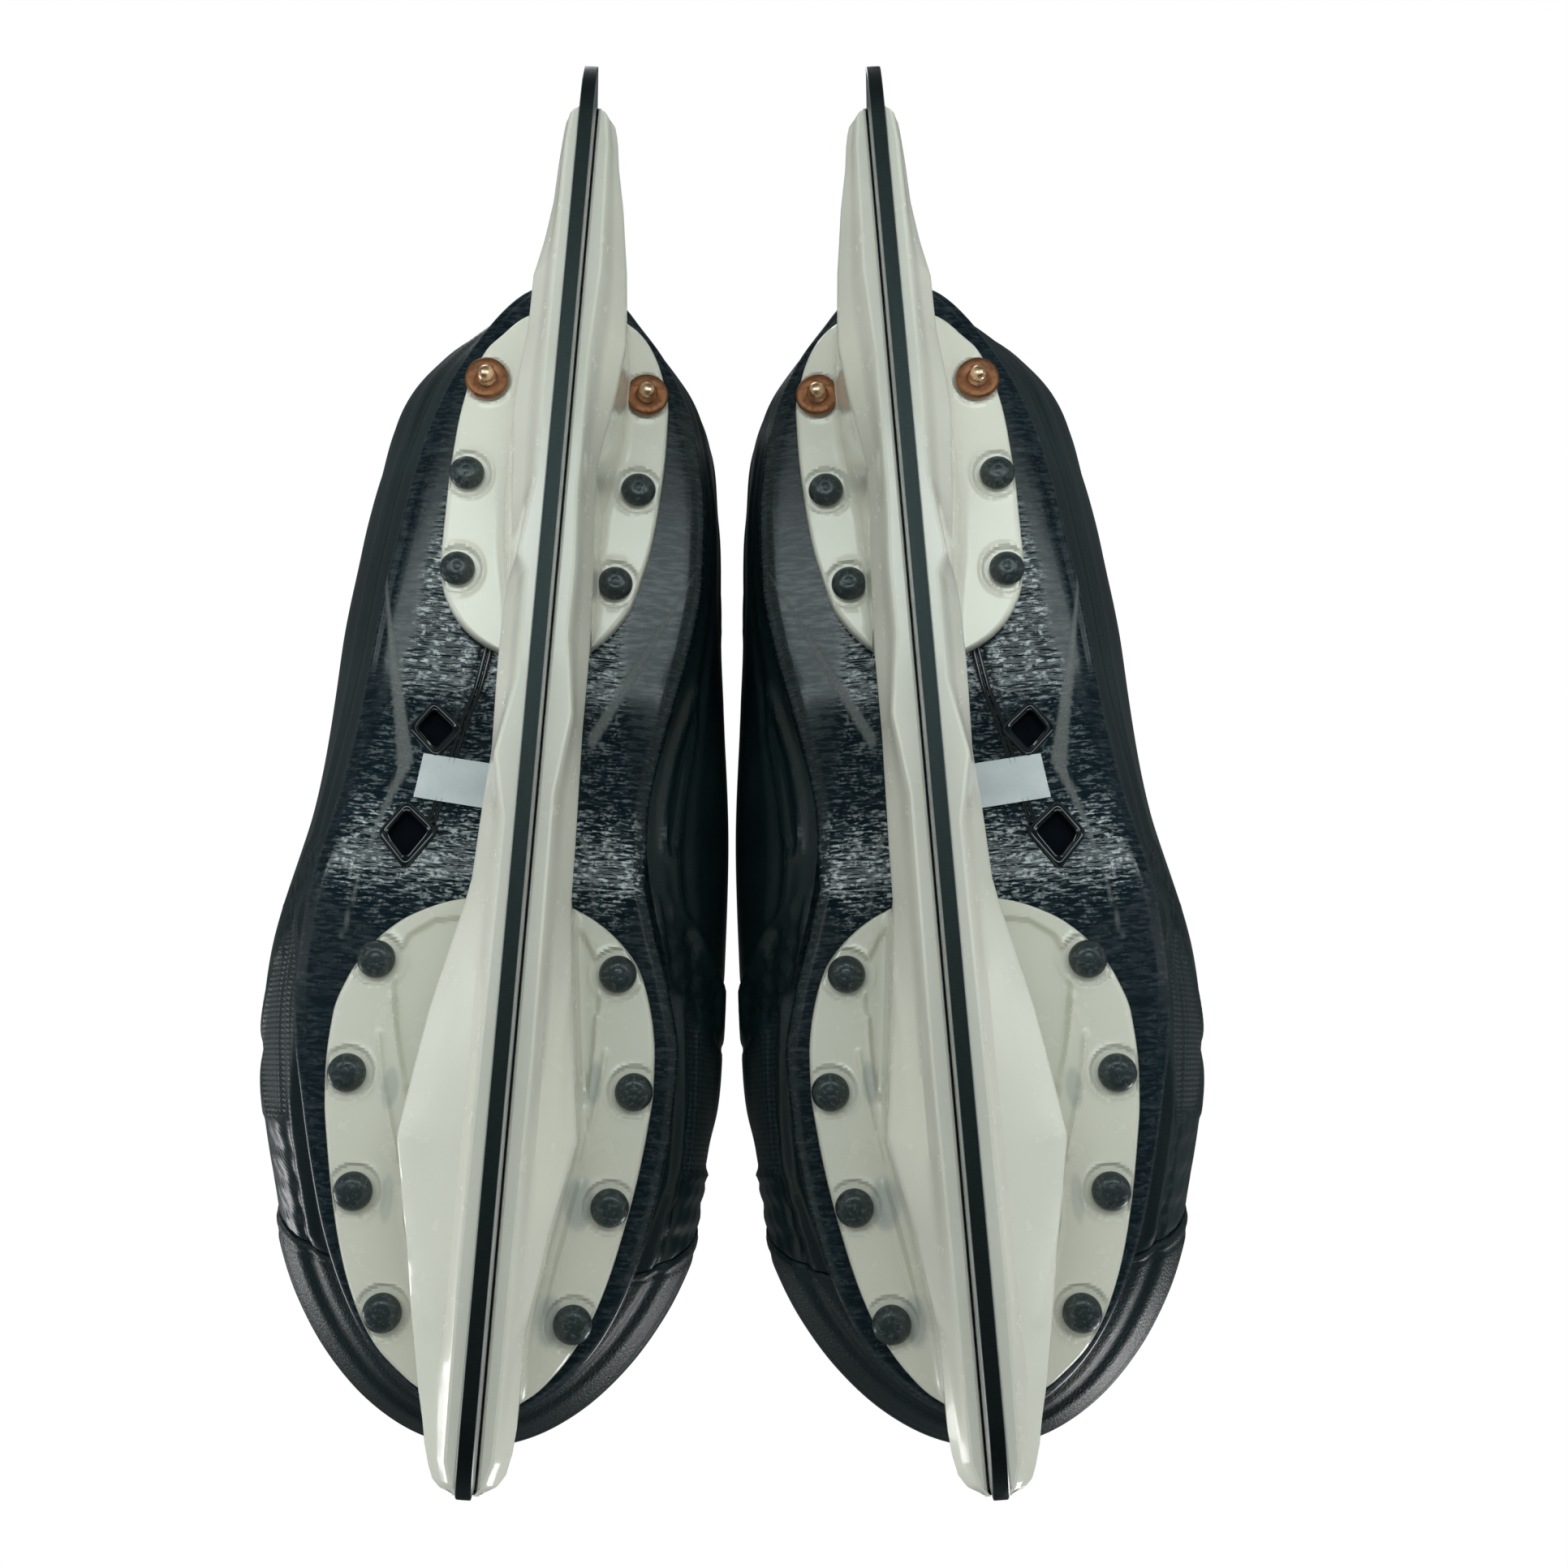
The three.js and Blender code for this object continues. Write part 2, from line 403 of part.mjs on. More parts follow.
// rivet with a domed head below the flange and its shank through it
function rivet(x, t, seat) {
  const z = seat - FLANGE - GAP, r = RIVET_HEAD_R, h = RIVET_HEAD_H;
  return turned([[0, z - h], [r * 0.55, z - h * 0.86], [r * 0.9, z - h * 0.45], [r, z], [RIVET_R, z], [RIVET_R, seat - 0.1], [0, seat - 0.1]], x, t, 8);
}
function copperPin(x, t) {
  const z = HEEL_SEAT - FLANGE;
  return turned([[0, z - 4.6], [1.3, z - 4.2], [1.9, z - 3.2], [1.9, HEEL_SEAT - 0.1], [0, HEEL_SEAT - 0.1]], x, t, 8);
}
function copperWasher(x, t) {
  const z = HEEL_SEAT - FLANGE - GAP, r0 = HOLE_R + 0.1;
  return turned([[r0, z], [r0, z - WASHER_H], [WASHER_R - 0.4, z - WASHER_H], [WASHER_R, z - WASHER_H * 0.6], [WASHER_R, z], [r0, z]], x, t, 12);
}
// runner: rockered flat bar with two lugs, its running edge level across
function runnerEdge(t) {
  const R = 2750, L = RUNNER_LENGTH;
  let z = 0;
  if (t < FLAT_START) z = (FLAT_START - t) ** 2 / (2 * R);
  if (t > FLAT_END) z = (t - FLAT_END) ** 2 / (2 * R);
  const tip = t < 14 ? (14 - t) / 14 : t > L - 14 ? (t - (L - 14)) / 14 : 0;
  return z + (TIP_LIFT - 1.2) * (1 - Math.sqrt(1 - Math.min(1, tip) ** 2));
}
function runner() {
  const h = RUNNER_THICK / 2, tanLean = Math.tan(rad(LEAN_DEG)), cosLean = Math.cos(rad(LEAN_DEG));
  const ts = [0, 0.8, 2.5, 6, 10, 14, 30, 50, FLAT_START, 105, 135, 165, FLAT_END, 215, 235, 250, 263, 267, 271, 274.5, 276.2, 277];
  const bar = loft(ts.map((t) => {
    const z = runnerEdge(t) / cosLean, top = RUNNER_TOP - 9 * (1 - Math.sqrt(1 - Math.max(0, (8 - Math.min(t, RUNNER_LENGTH - t)) / 8) ** 2)) * 0.6;
    return [[h, t, z + h * tanLean], [h, t, top], [-h, t, top], [-h, t, z - h * tanLean]];
  }));
  let m = toManifold(bar);
  for (const [t0, t1] of [REAR_LUG, FRONT_LUG]) m = m.add(toManifold(box(-h, h, t0, t1, RUNNER_TOP - 3, LUG_TOP)));
  return fromManifold(m);
}

// ---------------------------------------------------------------- materials
const MAT = {
  steel: { color: 0x8f9498, roughness: 0.32, metalness: 1.0 },
  holder: { color: 0xdfe3da, roughness: 0.28, metalness: 0.0 },
  sole: { color: 0x161b1f, roughness: 0.2, metalness: 0.0 },
  shell: { color: 0x15191d, roughness: 0.34, metalness: 0.0 },
  cap: { color: 0x14181b, roughness: 0.38, metalness: 0.0 },
  lining: { color: 0x2b2e33, roughness: 0.95, metalness: 0.0 },
  felt: { color: 0xc9cac6, roughness: 0.95, metalness: 0.0 },
  stay: { color: 0x1b1f24, roughness: 0.55, metalness: 0.0 },
  bed: { color: 0x3c4046, roughness: 0.9, metalness: 0.0 },
  guard: { color: 0x171b1e, roughness: 0.45, metalness: 0.0 },
  rivet: { color: 0x24292b, roughness: 0.35, metalness: 0.6 },
  copper: { color: 0xb9714c, roughness: 0.35, metalness: 1.0 },
  bolt: { color: 0x9a9c9e, roughness: 0.35, metalness: 1.0 },
};
function mesh(name, body, sx, mat) {
  const b = localise(body, sx);
  const geo = new THREE.BufferGeometry();
  geo.setAttribute('position', new THREE.Float32BufferAttribute(b.pos.flat(), 3));
  geo.setIndex(b.idx);
  geo.computeVertexNormals();
  const m = new THREE.Mesh(geo, new THREE.MeshStandardMaterial(MAT[mat]));
  m.name = name;
  return m;
}

// -------------------------------------------------------------- the two feet
function skate(foot) {
  const sx = foot === 'left' ? 1 : -1, g = new THREE.Group();
  g.position.set(sx * SKATE_X, SKATE_Y, 0);
  g.rotation.set(0, sx * rad(LEAN_DEG), sx * rad(TOE_OUT_DEG), 'ZYX');
  const put = (name, body, mat) => g.add(mesh(`${foot}_${name}`, body, sx, mat));
  put('runner', runner(), 'steel');
  put('holder', holder(), 'holder');
  put('rear_runner_bolt', bolt(REAR_LUG, HEEL_SEAT), 'bolt');
  put('front_runner_bolt', bolt(FRONT_LUG, FORE_SEAT), 'bolt');
  put('outsole', outsole(), 'sole');
  put('footbed', footbed(), 'bed');
  put('outer_quarter', quarter('outer'), 'shell');
  put('inner_quarter', quarter('inner'), 'shell');
  put('outer_eyelet_stay', facing('outer'), 'stay');
  put('inner_eyelet_stay', facing('inner'), 'stay');
  put('toe_cap', toeCap(), 'cap');
  put('liner', liner(), 'lining');
  put('tongue', tongue(), 'felt');
  put('tendon_guard', tendonGuard(), 'guard');
  for (const [list, seat] of [[HEEL_RIVETS, HEEL_SEAT], [FORE_RIVETS, FORE_SEAT]]) {
    for (const [n, xa, ta, xb, tb] of list) {
      put(`rivet_${n}_outer`, rivet(xa, ta, seat), 'rivet');
      put(`rivet_${n}_inner`, rivet(xb, tb, seat), 'rivet');
    }
  }
  for (const [n, xa, ta, xb, tb] of COPPER_RIVETS) {
    for (const [s, x, t] of [['outer', xa, ta], ['inner', xb, tb]]) {
      put(`copper_pin_${n}_${s}`, copperPin(x, t), 'copper');
      put(`copper_washer_${n}_${s}`, copperWasher(x, t), 'copper');
    }
  }
  return g;
}

const group = new THREE.Group();
group.add(skate('left'), skate('right'));
export default group;
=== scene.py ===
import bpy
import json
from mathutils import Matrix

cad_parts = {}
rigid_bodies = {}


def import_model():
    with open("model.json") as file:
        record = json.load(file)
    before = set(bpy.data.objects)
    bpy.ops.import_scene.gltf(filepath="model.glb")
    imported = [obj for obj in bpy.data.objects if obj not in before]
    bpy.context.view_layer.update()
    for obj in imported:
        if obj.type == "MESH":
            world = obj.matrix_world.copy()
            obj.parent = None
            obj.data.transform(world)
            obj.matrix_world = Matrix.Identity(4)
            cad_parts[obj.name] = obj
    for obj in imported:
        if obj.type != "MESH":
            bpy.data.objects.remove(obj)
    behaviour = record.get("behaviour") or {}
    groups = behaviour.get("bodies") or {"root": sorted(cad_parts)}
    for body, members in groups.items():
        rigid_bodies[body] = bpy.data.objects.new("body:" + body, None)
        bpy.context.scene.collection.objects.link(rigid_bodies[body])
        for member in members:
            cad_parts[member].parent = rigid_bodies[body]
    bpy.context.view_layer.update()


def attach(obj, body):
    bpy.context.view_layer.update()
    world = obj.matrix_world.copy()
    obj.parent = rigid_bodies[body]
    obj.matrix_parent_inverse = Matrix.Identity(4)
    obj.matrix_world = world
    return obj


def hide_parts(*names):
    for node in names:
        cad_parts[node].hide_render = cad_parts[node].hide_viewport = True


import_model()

import json
import math
import bpy
import numpy as np
from mathutils import Matrix, Vector

# ------------------------------------------------------------ shared numbers
LEAN, TOE_OUT = math.radians(5.0), math.radians(3.68)
SKATE_X, SKATE_Y = 28.1, 138.84
HEEL_SEAT, FORE_SEAT, FLANGE, OUTSOLE_H, GAP = 62.0, 50.0, 4.0, 5.0, 0.35
SHELL, CAP_WALL, LINING, LINING_GAP, FOOTBED = 2.4, 2.6, 4.2, 1.0, 4.0
RUNNER_L, RUNNER_W, RUNNER_TOP, EXPOSED = 277.0, 2.9, 25.0, 15.0
SIDES = (("left", 1.0), ("right", -1.0))
HEEL_RIVETS = [(22.0, 70.8), (-16.6, 71.1), (22.0, 93.3), (-13.1, 93.6)]
COPPER = [(19.7, 47.9), (-16.8, 48.2)]
FORE_RIVETS = [(29.2, 181.7), (-20.2, 181.3), (32.7, 204.9), (-25.3, 205.0),
               (29.0, 228.0), (-22.2, 228.2), (20.9, 250.9), (-16.6, 251.1)]
RNG = np.random.default_rng(7)


def place(P, sx):
    """Local (x outwards, t forwards, z up) in mm to the row frame in metres."""
    P = np.asarray(P, float)
    gx, gy, gz = sx * P[..., 0], -P[..., 1], P[..., 2]
    a, b = sx * LEAN, sx * TOE_OUT
    x1, z1 = gx * math.cos(a) + gz * math.sin(a), -gx * math.sin(a) + gz * math.cos(a)
    x2, y2 = x1 * math.cos(b) - gy * math.sin(b), x1 * math.sin(b) + gy * math.cos(b)
    return np.stack([x2 + sx * SKATE_X, y2 + SKATE_Y, z1], -1) / 1000.0


def smooth01(a, b, v):
    f = np.clip((np.asarray(v, float) - a) / (b - a), 0, 1)
    return f * f * (3 - 2 * f)


def tab(rows, v, col=1):
    r = np.asarray(rows, float)
    return np.interp(v, r[:, 0], r[:, col])


def spline(rows, v, col=1):
    """Smooth monotone-ish interpolation of a table through a cubic Hermite."""
    r = np.asarray(rows, float)
    x, y = r[:, 0], r[:, col]
    d = np.diff(y) / np.diff(x)
    m = np.concatenate([[d[0]], np.where(d[:-1] * d[1:] > 0, 2 * d[:-1] * d[1:] / (d[:-1] + d[1:] + 1e-12), 0), [d[-1]]])
    v = np.clip(np.asarray(v, float), x[0], x[-1])
    i = np.clip(np.searchsorted(x, v) - 1, 0, len(x) - 2)
    h = x[i + 1] - x[i]
    s = (v - x[i]) / h
    return ((2 * s**3 - 3 * s**2 + 1) * y[i] + (s**3 - 2 * s**2 + s) * h * m[i]
            + (-2 * s**3 + 3 * s**2) * y[i + 1] + (s**3 - s**2) * h * m[i + 1])


def catmull(ctl, u, axis=0):
    """Catmull-Rom along an axis of control points at parameters u."""
    ctl = np.moveaxis(np.asarray(ctl, float), axis, 0)
    n = len(ctl)
    ext = np.concatenate([[2 * ctl[0] - ctl[1]], ctl, [2 * ctl[-1] - ctl[-2]]])
    u = np.clip(np.asarray(u, float), 0, n - 1 - 1e-9)
    i = u.astype(int)
    f = (u - i).reshape((-1,) + (1,) * (ctl.ndim - 1))
    p0, p1, p2, p3 = ext[i], ext[i + 1], ext[i + 2], ext[i + 3]
    out = 0.5 * (2 * p1 + (p2 - p0) * f + (2 * p0 - 5 * p1 + 4 * p2 - p3) * f**2 + (3 * p1 - p0 - 3 * p2 + p3) * f**3)
    return np.moveaxis(out, 0, axis)


def grid_normals(P, sign=1.0):
    du, dv = np.gradient(P, axis=0), np.gradient(P, axis=1)
    n = np.cross(du, dv) * sign
    return n / np.maximum(np.linalg.norm(n, axis=-1, keepdims=True), 1e-9)


# --------------------------------------------------------------- mesh making
def new_object(name, verts, faces, sx, mat, body, node=None, slot=None, attrs=None, sharp=60):
    """verts are local mm. The attribute loc keeps them for the materials."""
    verts = np.asarray(verts, float).reshape(-1, 3)
    W = place(verts, sx)
    me = bpy.data.meshes.new(name)
    faces = [tuple(f) for f in faces]
    me.from_pydata([tuple(v) for v in W], [], faces)
    at = me.attributes.new("loc", "FLOAT_VECTOR", "POINT")
    at.data.foreach_set("vector", verts.astype(np.float32).ravel())
    for k, v in (attrs or {}).items():
        a = me.attributes.new(k, "FLOAT", "POINT")
        a.data.foreach_set("value", np.asarray(v, np.float32).ravel())
    me.validate()
    # faces out: the signed volume decides
    import bmesh
    bm = bmesh.new()
    bm.from_mesh(me)
    if bm.calc_volume(signed=True) < 0:
        bmesh.ops.reverse_faces(bm, faces=bm.faces)
    bm.to_mesh(me)
    bm.free()
    me.polygons.foreach_set("use_smooth", [True] * len(me.polygons))
    me.set_sharp_from_angle(angle=math.radians(sharp))
    me.materials.append(mat)
    ob = bpy.data.objects.new(name, me)
    bpy.context.scene.collection.objects.link(ob)
    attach(ob, body)
    if node:
        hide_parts(*([node] if isinstance(node, str) else node))
    return ob


def shell_faces(nu, nv, base=0):
    """Closed body from two nu x nv grids laid one after the other."""
    F = []
    i, j = np.meshgrid(np.arange(nu - 1), np.arange(nv - 1), indexing="ij")
    a = (base + i * nv + j).ravel(); b = a + nv; c = b + 1; d = a + 1
    F += np.stack([a, b, c, d], -1).tolist()
    o = nu * nv
    F += np.stack([a + o, d + o, c + o, b + o], -1).tolist()
    for k in range(nu - 1):
        p, q = base + k * nv, base + (k + 1) * nv
        F.append([p, p + o, q + o, q])
        F.append([p + nv - 1, q + nv - 1, q + nv - 1 + o, p + nv - 1 + o])
    for k in range(nv - 1):
        p = base + k
        F.append([p, p + 1, p + 1 + o, p + o])
        p = base + (nu - 1) * nv + k
        F.append([p, p + o, p + 1 + o, p + 1])
    return F


def sheet_body(name, outer, inner, sx, mat, body, **kw):
    nu, nv = outer.shape[:2]
    V = np.concatenate([outer.reshape(-1, 3), inner.reshape(-1, 3)])
    return new_object(name, V, shell_faces(nu, nv), sx, mat, body, **kw)


def loft_body(name, sections, sx, mat, body, **kw):
    """Closed rings of the same size, capped with fans at both ends."""
    S = np.asarray(sections, float)
    m, n = S.shape[:2]
    V = S.reshape(-1, 3)
    V = np.concatenate([V, [S[0].mean(0), S[-1].mean(0)]])
    F = []
    for s in range(m - 1):
        for k in range(n):
            F.append([s * n + k, s * n + (k + 1) % n, (s + 1) * n + (k + 1) % n, (s + 1) * n + k])
    for k in range(n):
        F.append([m * n, (k + 1) % n, k])
        F.append([m * n + 1, (m - 1) * n + k, (m - 1) * n + (k + 1) % n])
    return new_object(name, V, F, sx, mat, body, **kw)


def lathe(profile, centre, seg=28, axis_z=True):
    """Turned body; profile of (r, z) from axis to axis. Returns verts, faces."""
    V, F, rings = [], [], []
    for r, z in profile:
        if r < 1e-6:
            rings.append([len(V)]); V.append((centre[0], centre[1], z))
        else:
            rings.append(list(range(len(V), len(V) + seg)))
            for k in range(seg):
                w = 2 * math.pi * k / seg
                V.append((centre[0] + r * math.cos(w), centre[1] + r * math.sin(w), z))
    for a, b in zip(rings[:-1], rings[1:]):
        if len(a) == 1 and len(b) == 1:
            continue
        for k in range(seg):
            k1 = (k + 1) % seg
            if len(a) == 1:
                F.append([a[0], b[k], b[k1]])
            elif len(b) == 1:
                F.append([a[k], b[0], a[k1]])
            else:
                F.append([a[k], b[k], b[k1], a[k1]])
    return V, F


def merge(parts):
    V, F = [], []
    for v, f in parts:
        o = len(V)
        V += [tuple(p) for p in v]
        F += [[i + o for i in q] for q in f]
    return V, F


def tube(points, r, seg=8, closed=False):
    """Round tube along points (n,3)."""
    P = np.asarray(points, float)
    n = len(P)
    T = np.gradient(P, axis=0) if not closed else (np.roll(P, -1, 0) - np.roll(P, 1, 0))
    T /= np.linalg.norm(T, axis=1, keepdims=True)
    up = np.array([0, 0, 1.0]) if abs(T[0][2]) < 0.9 else np.array([1.0, 0, 0])
    A = np.cross(T, up); A /= np.linalg.norm(A, axis=1, keepdims=True)
    B = np.cross(T, A)
    rr = np.broadcast_to(np.asarray(r, float), (n,))
    V, F = [], []
    for i in range(n):
        for k in range(seg):
            w = 2 * math.pi * k / seg
            V.append(tuple(P[i] + rr[i] * (math.cos(w) * A[i] + math.sin(w) * B[i])))
    m = n if closed else n - 1
    for i in range(m):
        j = (i + 1) % n
        for k in range(seg):
            k1 = (k + 1) % seg
            F.append([i * seg + k, j * seg + k, j * seg + k1, i * seg + k1])
    if not closed:
        F.append(list(range(seg))[::-1])
        F.append(list(range((n - 1) * seg, n * seg)))
    return V, F


# ----------------------------------------------------------------- materials
def srgb(r, g, b):
    f = lambda c: (c / 12.92 if c <= 0.04045 else ((c + 0.055) / 1.055) ** 2.4)
    return (f(r / 255), f(g / 255), f(b / 255), 1.0)


class Mat:
    def __init__(self, name, rough=0.5, metal=0.0, coat=0.0, coat_rough=0.1, spec=0.5, sheen=0.0, color=(128, 128, 128)):
        self.m = bpy.data.materials.new(name)
        self.m.use_nodes = True
        self.nt = self.m.node_tree
        self.b = self.nt.nodes["Principled BSDF"]
        self.b.inputs["Base Color"].default_value = srgb(*color)
        self.b.inputs["Roughness"].default_value = rough
        self.b.inputs["Metallic"].default_value = metal
        self.b.inputs["Coat Weight"].default_value = coat
        self.b.inputs["Coat Roughness"].default_value = coat_rough
        self.b.inputs["Specular IOR Level"].default_value = spec
        self.b.inputs["Sheen Weight"].default_value = sheen
        self.loc = self.node("ShaderNodeAttribute", attribute_name="loc").outputs["Vector"]
        self.heights = []

    def node(self, kind, **props):
        n = self.nt.nodes.new(kind)
        for k, v in props.items():
            setattr(n, k, v)
        return n

    def link(self, a, b):
        self.nt.links.new(a, b)

    def val(self, sock, v):
        if hasattr(v, "is_output") or isinstance(v, bpy.types.NodeSocket):
            self.link(v, sock)
        else:
            sock.default_value = v

    def math(self, op, a, b=None, c=None, clamp=False):
        n = self.node("ShaderNodeMath", operation=op, use_clamp=clamp)
        for s, v in zip(n.inputs, (a, b, c)):
            if v is not None:
                self.val(s, v)
        return n.outputs[0]

    def scale(self, s, src=None):
        n = self.node("ShaderNodeVectorMath", operation="MULTIPLY")
        self.link(src if src is not None else self.loc, n.inputs[0])
        n.inputs[1].default_value = s
        return n.outputs[0]

    def sep(self, src=None):
        n = self.node("ShaderNodeSeparateXYZ")
        self.link(src if src is not None else self.loc, n.inputs[0])
        return n.outputs

    def noise(self, scale, detail=3, rough=0.55, src=None, distortion=0.0):
        n = self.node("ShaderNodeTexNoise")
        self.link(src if src is not None else self.loc, n.inputs["Vector"])
        n.inputs["Scale"].default_value = scale
        n.inputs["Detail"].default_value = detail
        n.inputs["Roughness"].default_value = rough
        n.inputs["Distortion"].default_value = distortion
        return n.outputs["Fac"]

    def ramp(self, fac, stops, mode="LINEAR"):
        n = self.node("ShaderNodeValToRGB")
        self.link(fac, n.inputs[0])
        e = n.color_ramp.elements
        n.color_ramp.interpolation = mode
        while len(e) < len(stops):
            e.new(0.5)
        for el, (p, c) in zip(e, stops):
            el.position = p
            el.color = c if len(c) == 4 else (*c, 1)
        return n.outputs["Color"]

    def maprange(self, v, a, b, c=0.0, d=1.0):
        n = self.node("ShaderNodeMapRange")
        self.link(v, n.inputs[0])
        for i, x in zip((1, 2, 3, 4), (a, b, c, d)):
            n.inputs[i].default_value = x
        return n.outputs[0]

    def mix(self, fac, a, b):
        n = self.node("ShaderNodeMix", data_type="RGBA")
        self.val(n.inputs[0], fac)
        self.val(n.inputs[6], a)
        self.val(n.inputs[7], b)
        return n.outputs[2]

    def color(self, c):
        self.val(self.b.inputs["Base Color"], c)

    def rough(self, v):
        self.val(self.b.inputs["Roughness"], v)

    def bump(self, h, dist=0.0003, strength=1.0):
        """h is a height in 0..1, dist the height in metres."""
        n = self.node("ShaderNodeBump")
        n.inputs["Distance"].default_value = dist
        n.inputs["Strength"].default_value = strength
        self.link(h, n.inputs["Height"])
        if self.heights:
            self.link(self.heights[-1], n.inputs["Normal"])
        self.heights.append(n.outputs[0])
        self.link(n.outputs[0], self.b.inputs["Normal"])
        self.link(n.outputs[0], self.b.inputs["Coat Normal"])


def tone(rgb, k):
    c = np.array(srgb(*rgb)[:3]) * k
    return tuple(np.clip(c, 0, 1))


def attr(m, name):
    return m.node("ShaderNodeAttribute", attribute_name=name).outputs["Fac"]


def holder_material():
    m = Mat("holder_plastic", rough=0.24, coat=0.35, coat_rough=0.06, spec=0.5)
    big = m.noise(0.035, 2)
    fine = m.noise(0.9, 3)
    c = m.ramp(big, [(0.3, tone((226, 227, 212), 0.97)), (0.7, tone((231, 231, 217), 1.0))])
    x, t, z = m.sep()[0:3]
    # painted shade: the holder's fore part (t past 146) is greyed towards the flange (z 34 to 46), where the light
    # falls off towards the toe
    c = m.mix(m.math("MULTIPLY", m.math("MULTIPLY", m.maprange(t, 146, 172), m.maprange(z, 34, 46)), 0.36), c, (*tone((176, 179, 162), 1.0), 1))
    # painted shade: greyer ovals on the fore flange, inboard of the rivets, standing for the shading of these dips in
    # the moulding
    c = m.mix(m.math("MULTIPLY", attr(m, "painted_shade_patch"), 0.8, clamp=True), c, (*tone((172, 178, 172), 1.0), 1))
    # handling marks: sparse short scratches and faint rubbed dirt
    scr = m.noise(1.0, 6, 0.7, src=m.scale((2.6, 0.12, 1.2)))
    s = m.maprange(scr, 0.70, 0.76)
    dirt = m.maprange(m.noise(0.16, 5, 0.65), 0.58, 0.8)
    c = m.mix(m.math("MULTIPLY", s, 0.07), c, (*tone((150, 152, 146), 1.0), 1))
    c = m.mix(m.math("MULTIPLY", dirt, 0.14), c, (*tone((196, 194, 180), 1.0), 1))
    m.color(c)
    r = m.math("ADD", m.maprange(fine, 0.3, 0.7, 0.2, 0.27), m.math("MULTIPLY", s, 0.2))
    m.rough(m.math("ADD", r, m.math("MULTIPLY", dirt, 0.16)))
    m.bump(m.noise(0.3, 2), 0.00003, 0.5)
    return m.m


def runner_material():
    m = Mat("runner_steel", rough=0.3, metal=1.0)
    edge = attr(m, "edge")
    grind = m.noise(1.0, 5, 0.6, src=m.scale((9.0, 0.03, 14.0)))
    cloud = m.noise(0.08, 3)
    side = m.mix(grind, (*tone((182, 185, 188), 1.0), 1), (*tone((216, 218, 221), 1.0), 1))
    side = m.mix(m.math("MULTIPLY", m.maprange(cloud, 0.5, 0.75), 0.35), side, (*tone((128, 126, 140), 1.0), 1))
    cross = m.noise(1.0, 4, 0.6, src=m.scale((0.5, 5.0, 0.5)))
    # painted reflection: the lower running faces are coloured dark grey for the dark surroundings they reflect,
    # against the lighter sides
    painted_dark_bottom = m.mix(cross, (*tone((46, 54, 54), 1.0), 1), (*tone((66, 74, 73), 1.0), 1))
    m.color(m.mix(edge, side, painted_dark_bottom))
    m.rough(m.math("ADD", m.maprange(grind, 0.3, 0.7, 0.22, 0.34), m.math("MULTIPLY", edge, 0.22)))
    m.bump(grind, 0.00002, 0.6)
    return m.m


def sole_material():
    m = Mat("sole_composite", rough=0.24, coat=0.08, coat_rough=0.1, spec=0.42)
    weave_mask, stripe = attr(m, "weave"), attr(m, "stripe")
    dash = m.noise(1.0, 1, 0.5, src=m.scale((0.24, 1.15, 0.5)))
    zone = attr(m, "zone")
    # painted highlight: bright glint dashes, put mostly where the sole_band lamp's reflection falls (the zone mask)
    painted_glint = m.maprange(m.noise(1.0, 2, 0.6, src=m.scale((0.34, 1.45, 0.6))), 0.50, 0.60)
    painted_glint = m.math("MULTIPLY", painted_glint, m.maprange(m.noise(1.1, 2, 0.6), 0.38, 0.58))
    spark = m.noise(1.5, 3, 0.7)
    big = m.noise(0.05, 3)
    base = m.ramp(big, [(0.3, tone((9, 22, 28), 1.0)), (0.7, tone((15, 30, 36), 1.0))])
    base = m.mix(m.math("MULTIPLY", m.maprange(dash, 0.45, 0.62), 0.5), base, (*tone((26, 44, 51), 1.0), 1))
    grain = m.maprange(m.noise(4.5, 2), 0.35, 0.65)
    st = m.mix(grain, (*tone((78, 84, 84), 1.0), 1), (*tone((122, 126, 122), 1.0), 1))
    scr = m.maprange(m.noise(1.0, 6, 0.72, src=m.scale((0.35, 1.8, 0.5))), 0.66, 0.74)
    c = m.mix(m.math("MULTIPLY", scr, 0.22), base, (*tone((88, 96, 100), 1.0), 1))
    # painted highlight: bright dashes mixed into the sole's colour in the highlight zone
    c = m.mix(m.math("MULTIPLY", painted_glint, m.math("ADD", m.math("MULTIPLY", zone, 0.8), 0.04)), c, (*tone((196, 206, 208), 1.0), 1))
    c = m.mix(m.math("MULTIPLY", stripe, 0.8), c, st)
    m.color(c)
    r = m.math("ADD", m.maprange(dash, 0.4, 0.6, 0.10, 0.20), m.math("MULTIPLY", scr, 0.2))
    r = m.math("ADD", r, m.math("MULTIPLY", m.math("SUBTRACT", 1.0, weave_mask), 0.12))
    m.rough(m.math("ADD", r, m.math("MULTIPLY", stripe, 0.3)))
    h = m.math("MULTIPLY", dash, m.math("MULTIPLY", m.math("ADD", m.math("MULTIPLY", weave_mask, 0.2), m.math("MULTIPLY", zone, 0.75)), m.math("SUBTRACT", 1.0, stripe)))
    m.bump(h, 0.00022, 1.0)
    m.bump(m.math("MULTIPLY", spark, m.math("ADD", m.math("MULTIPLY", weave_mask, 0.9), 0.1)), 0.00003, 1.0)
    return m.m


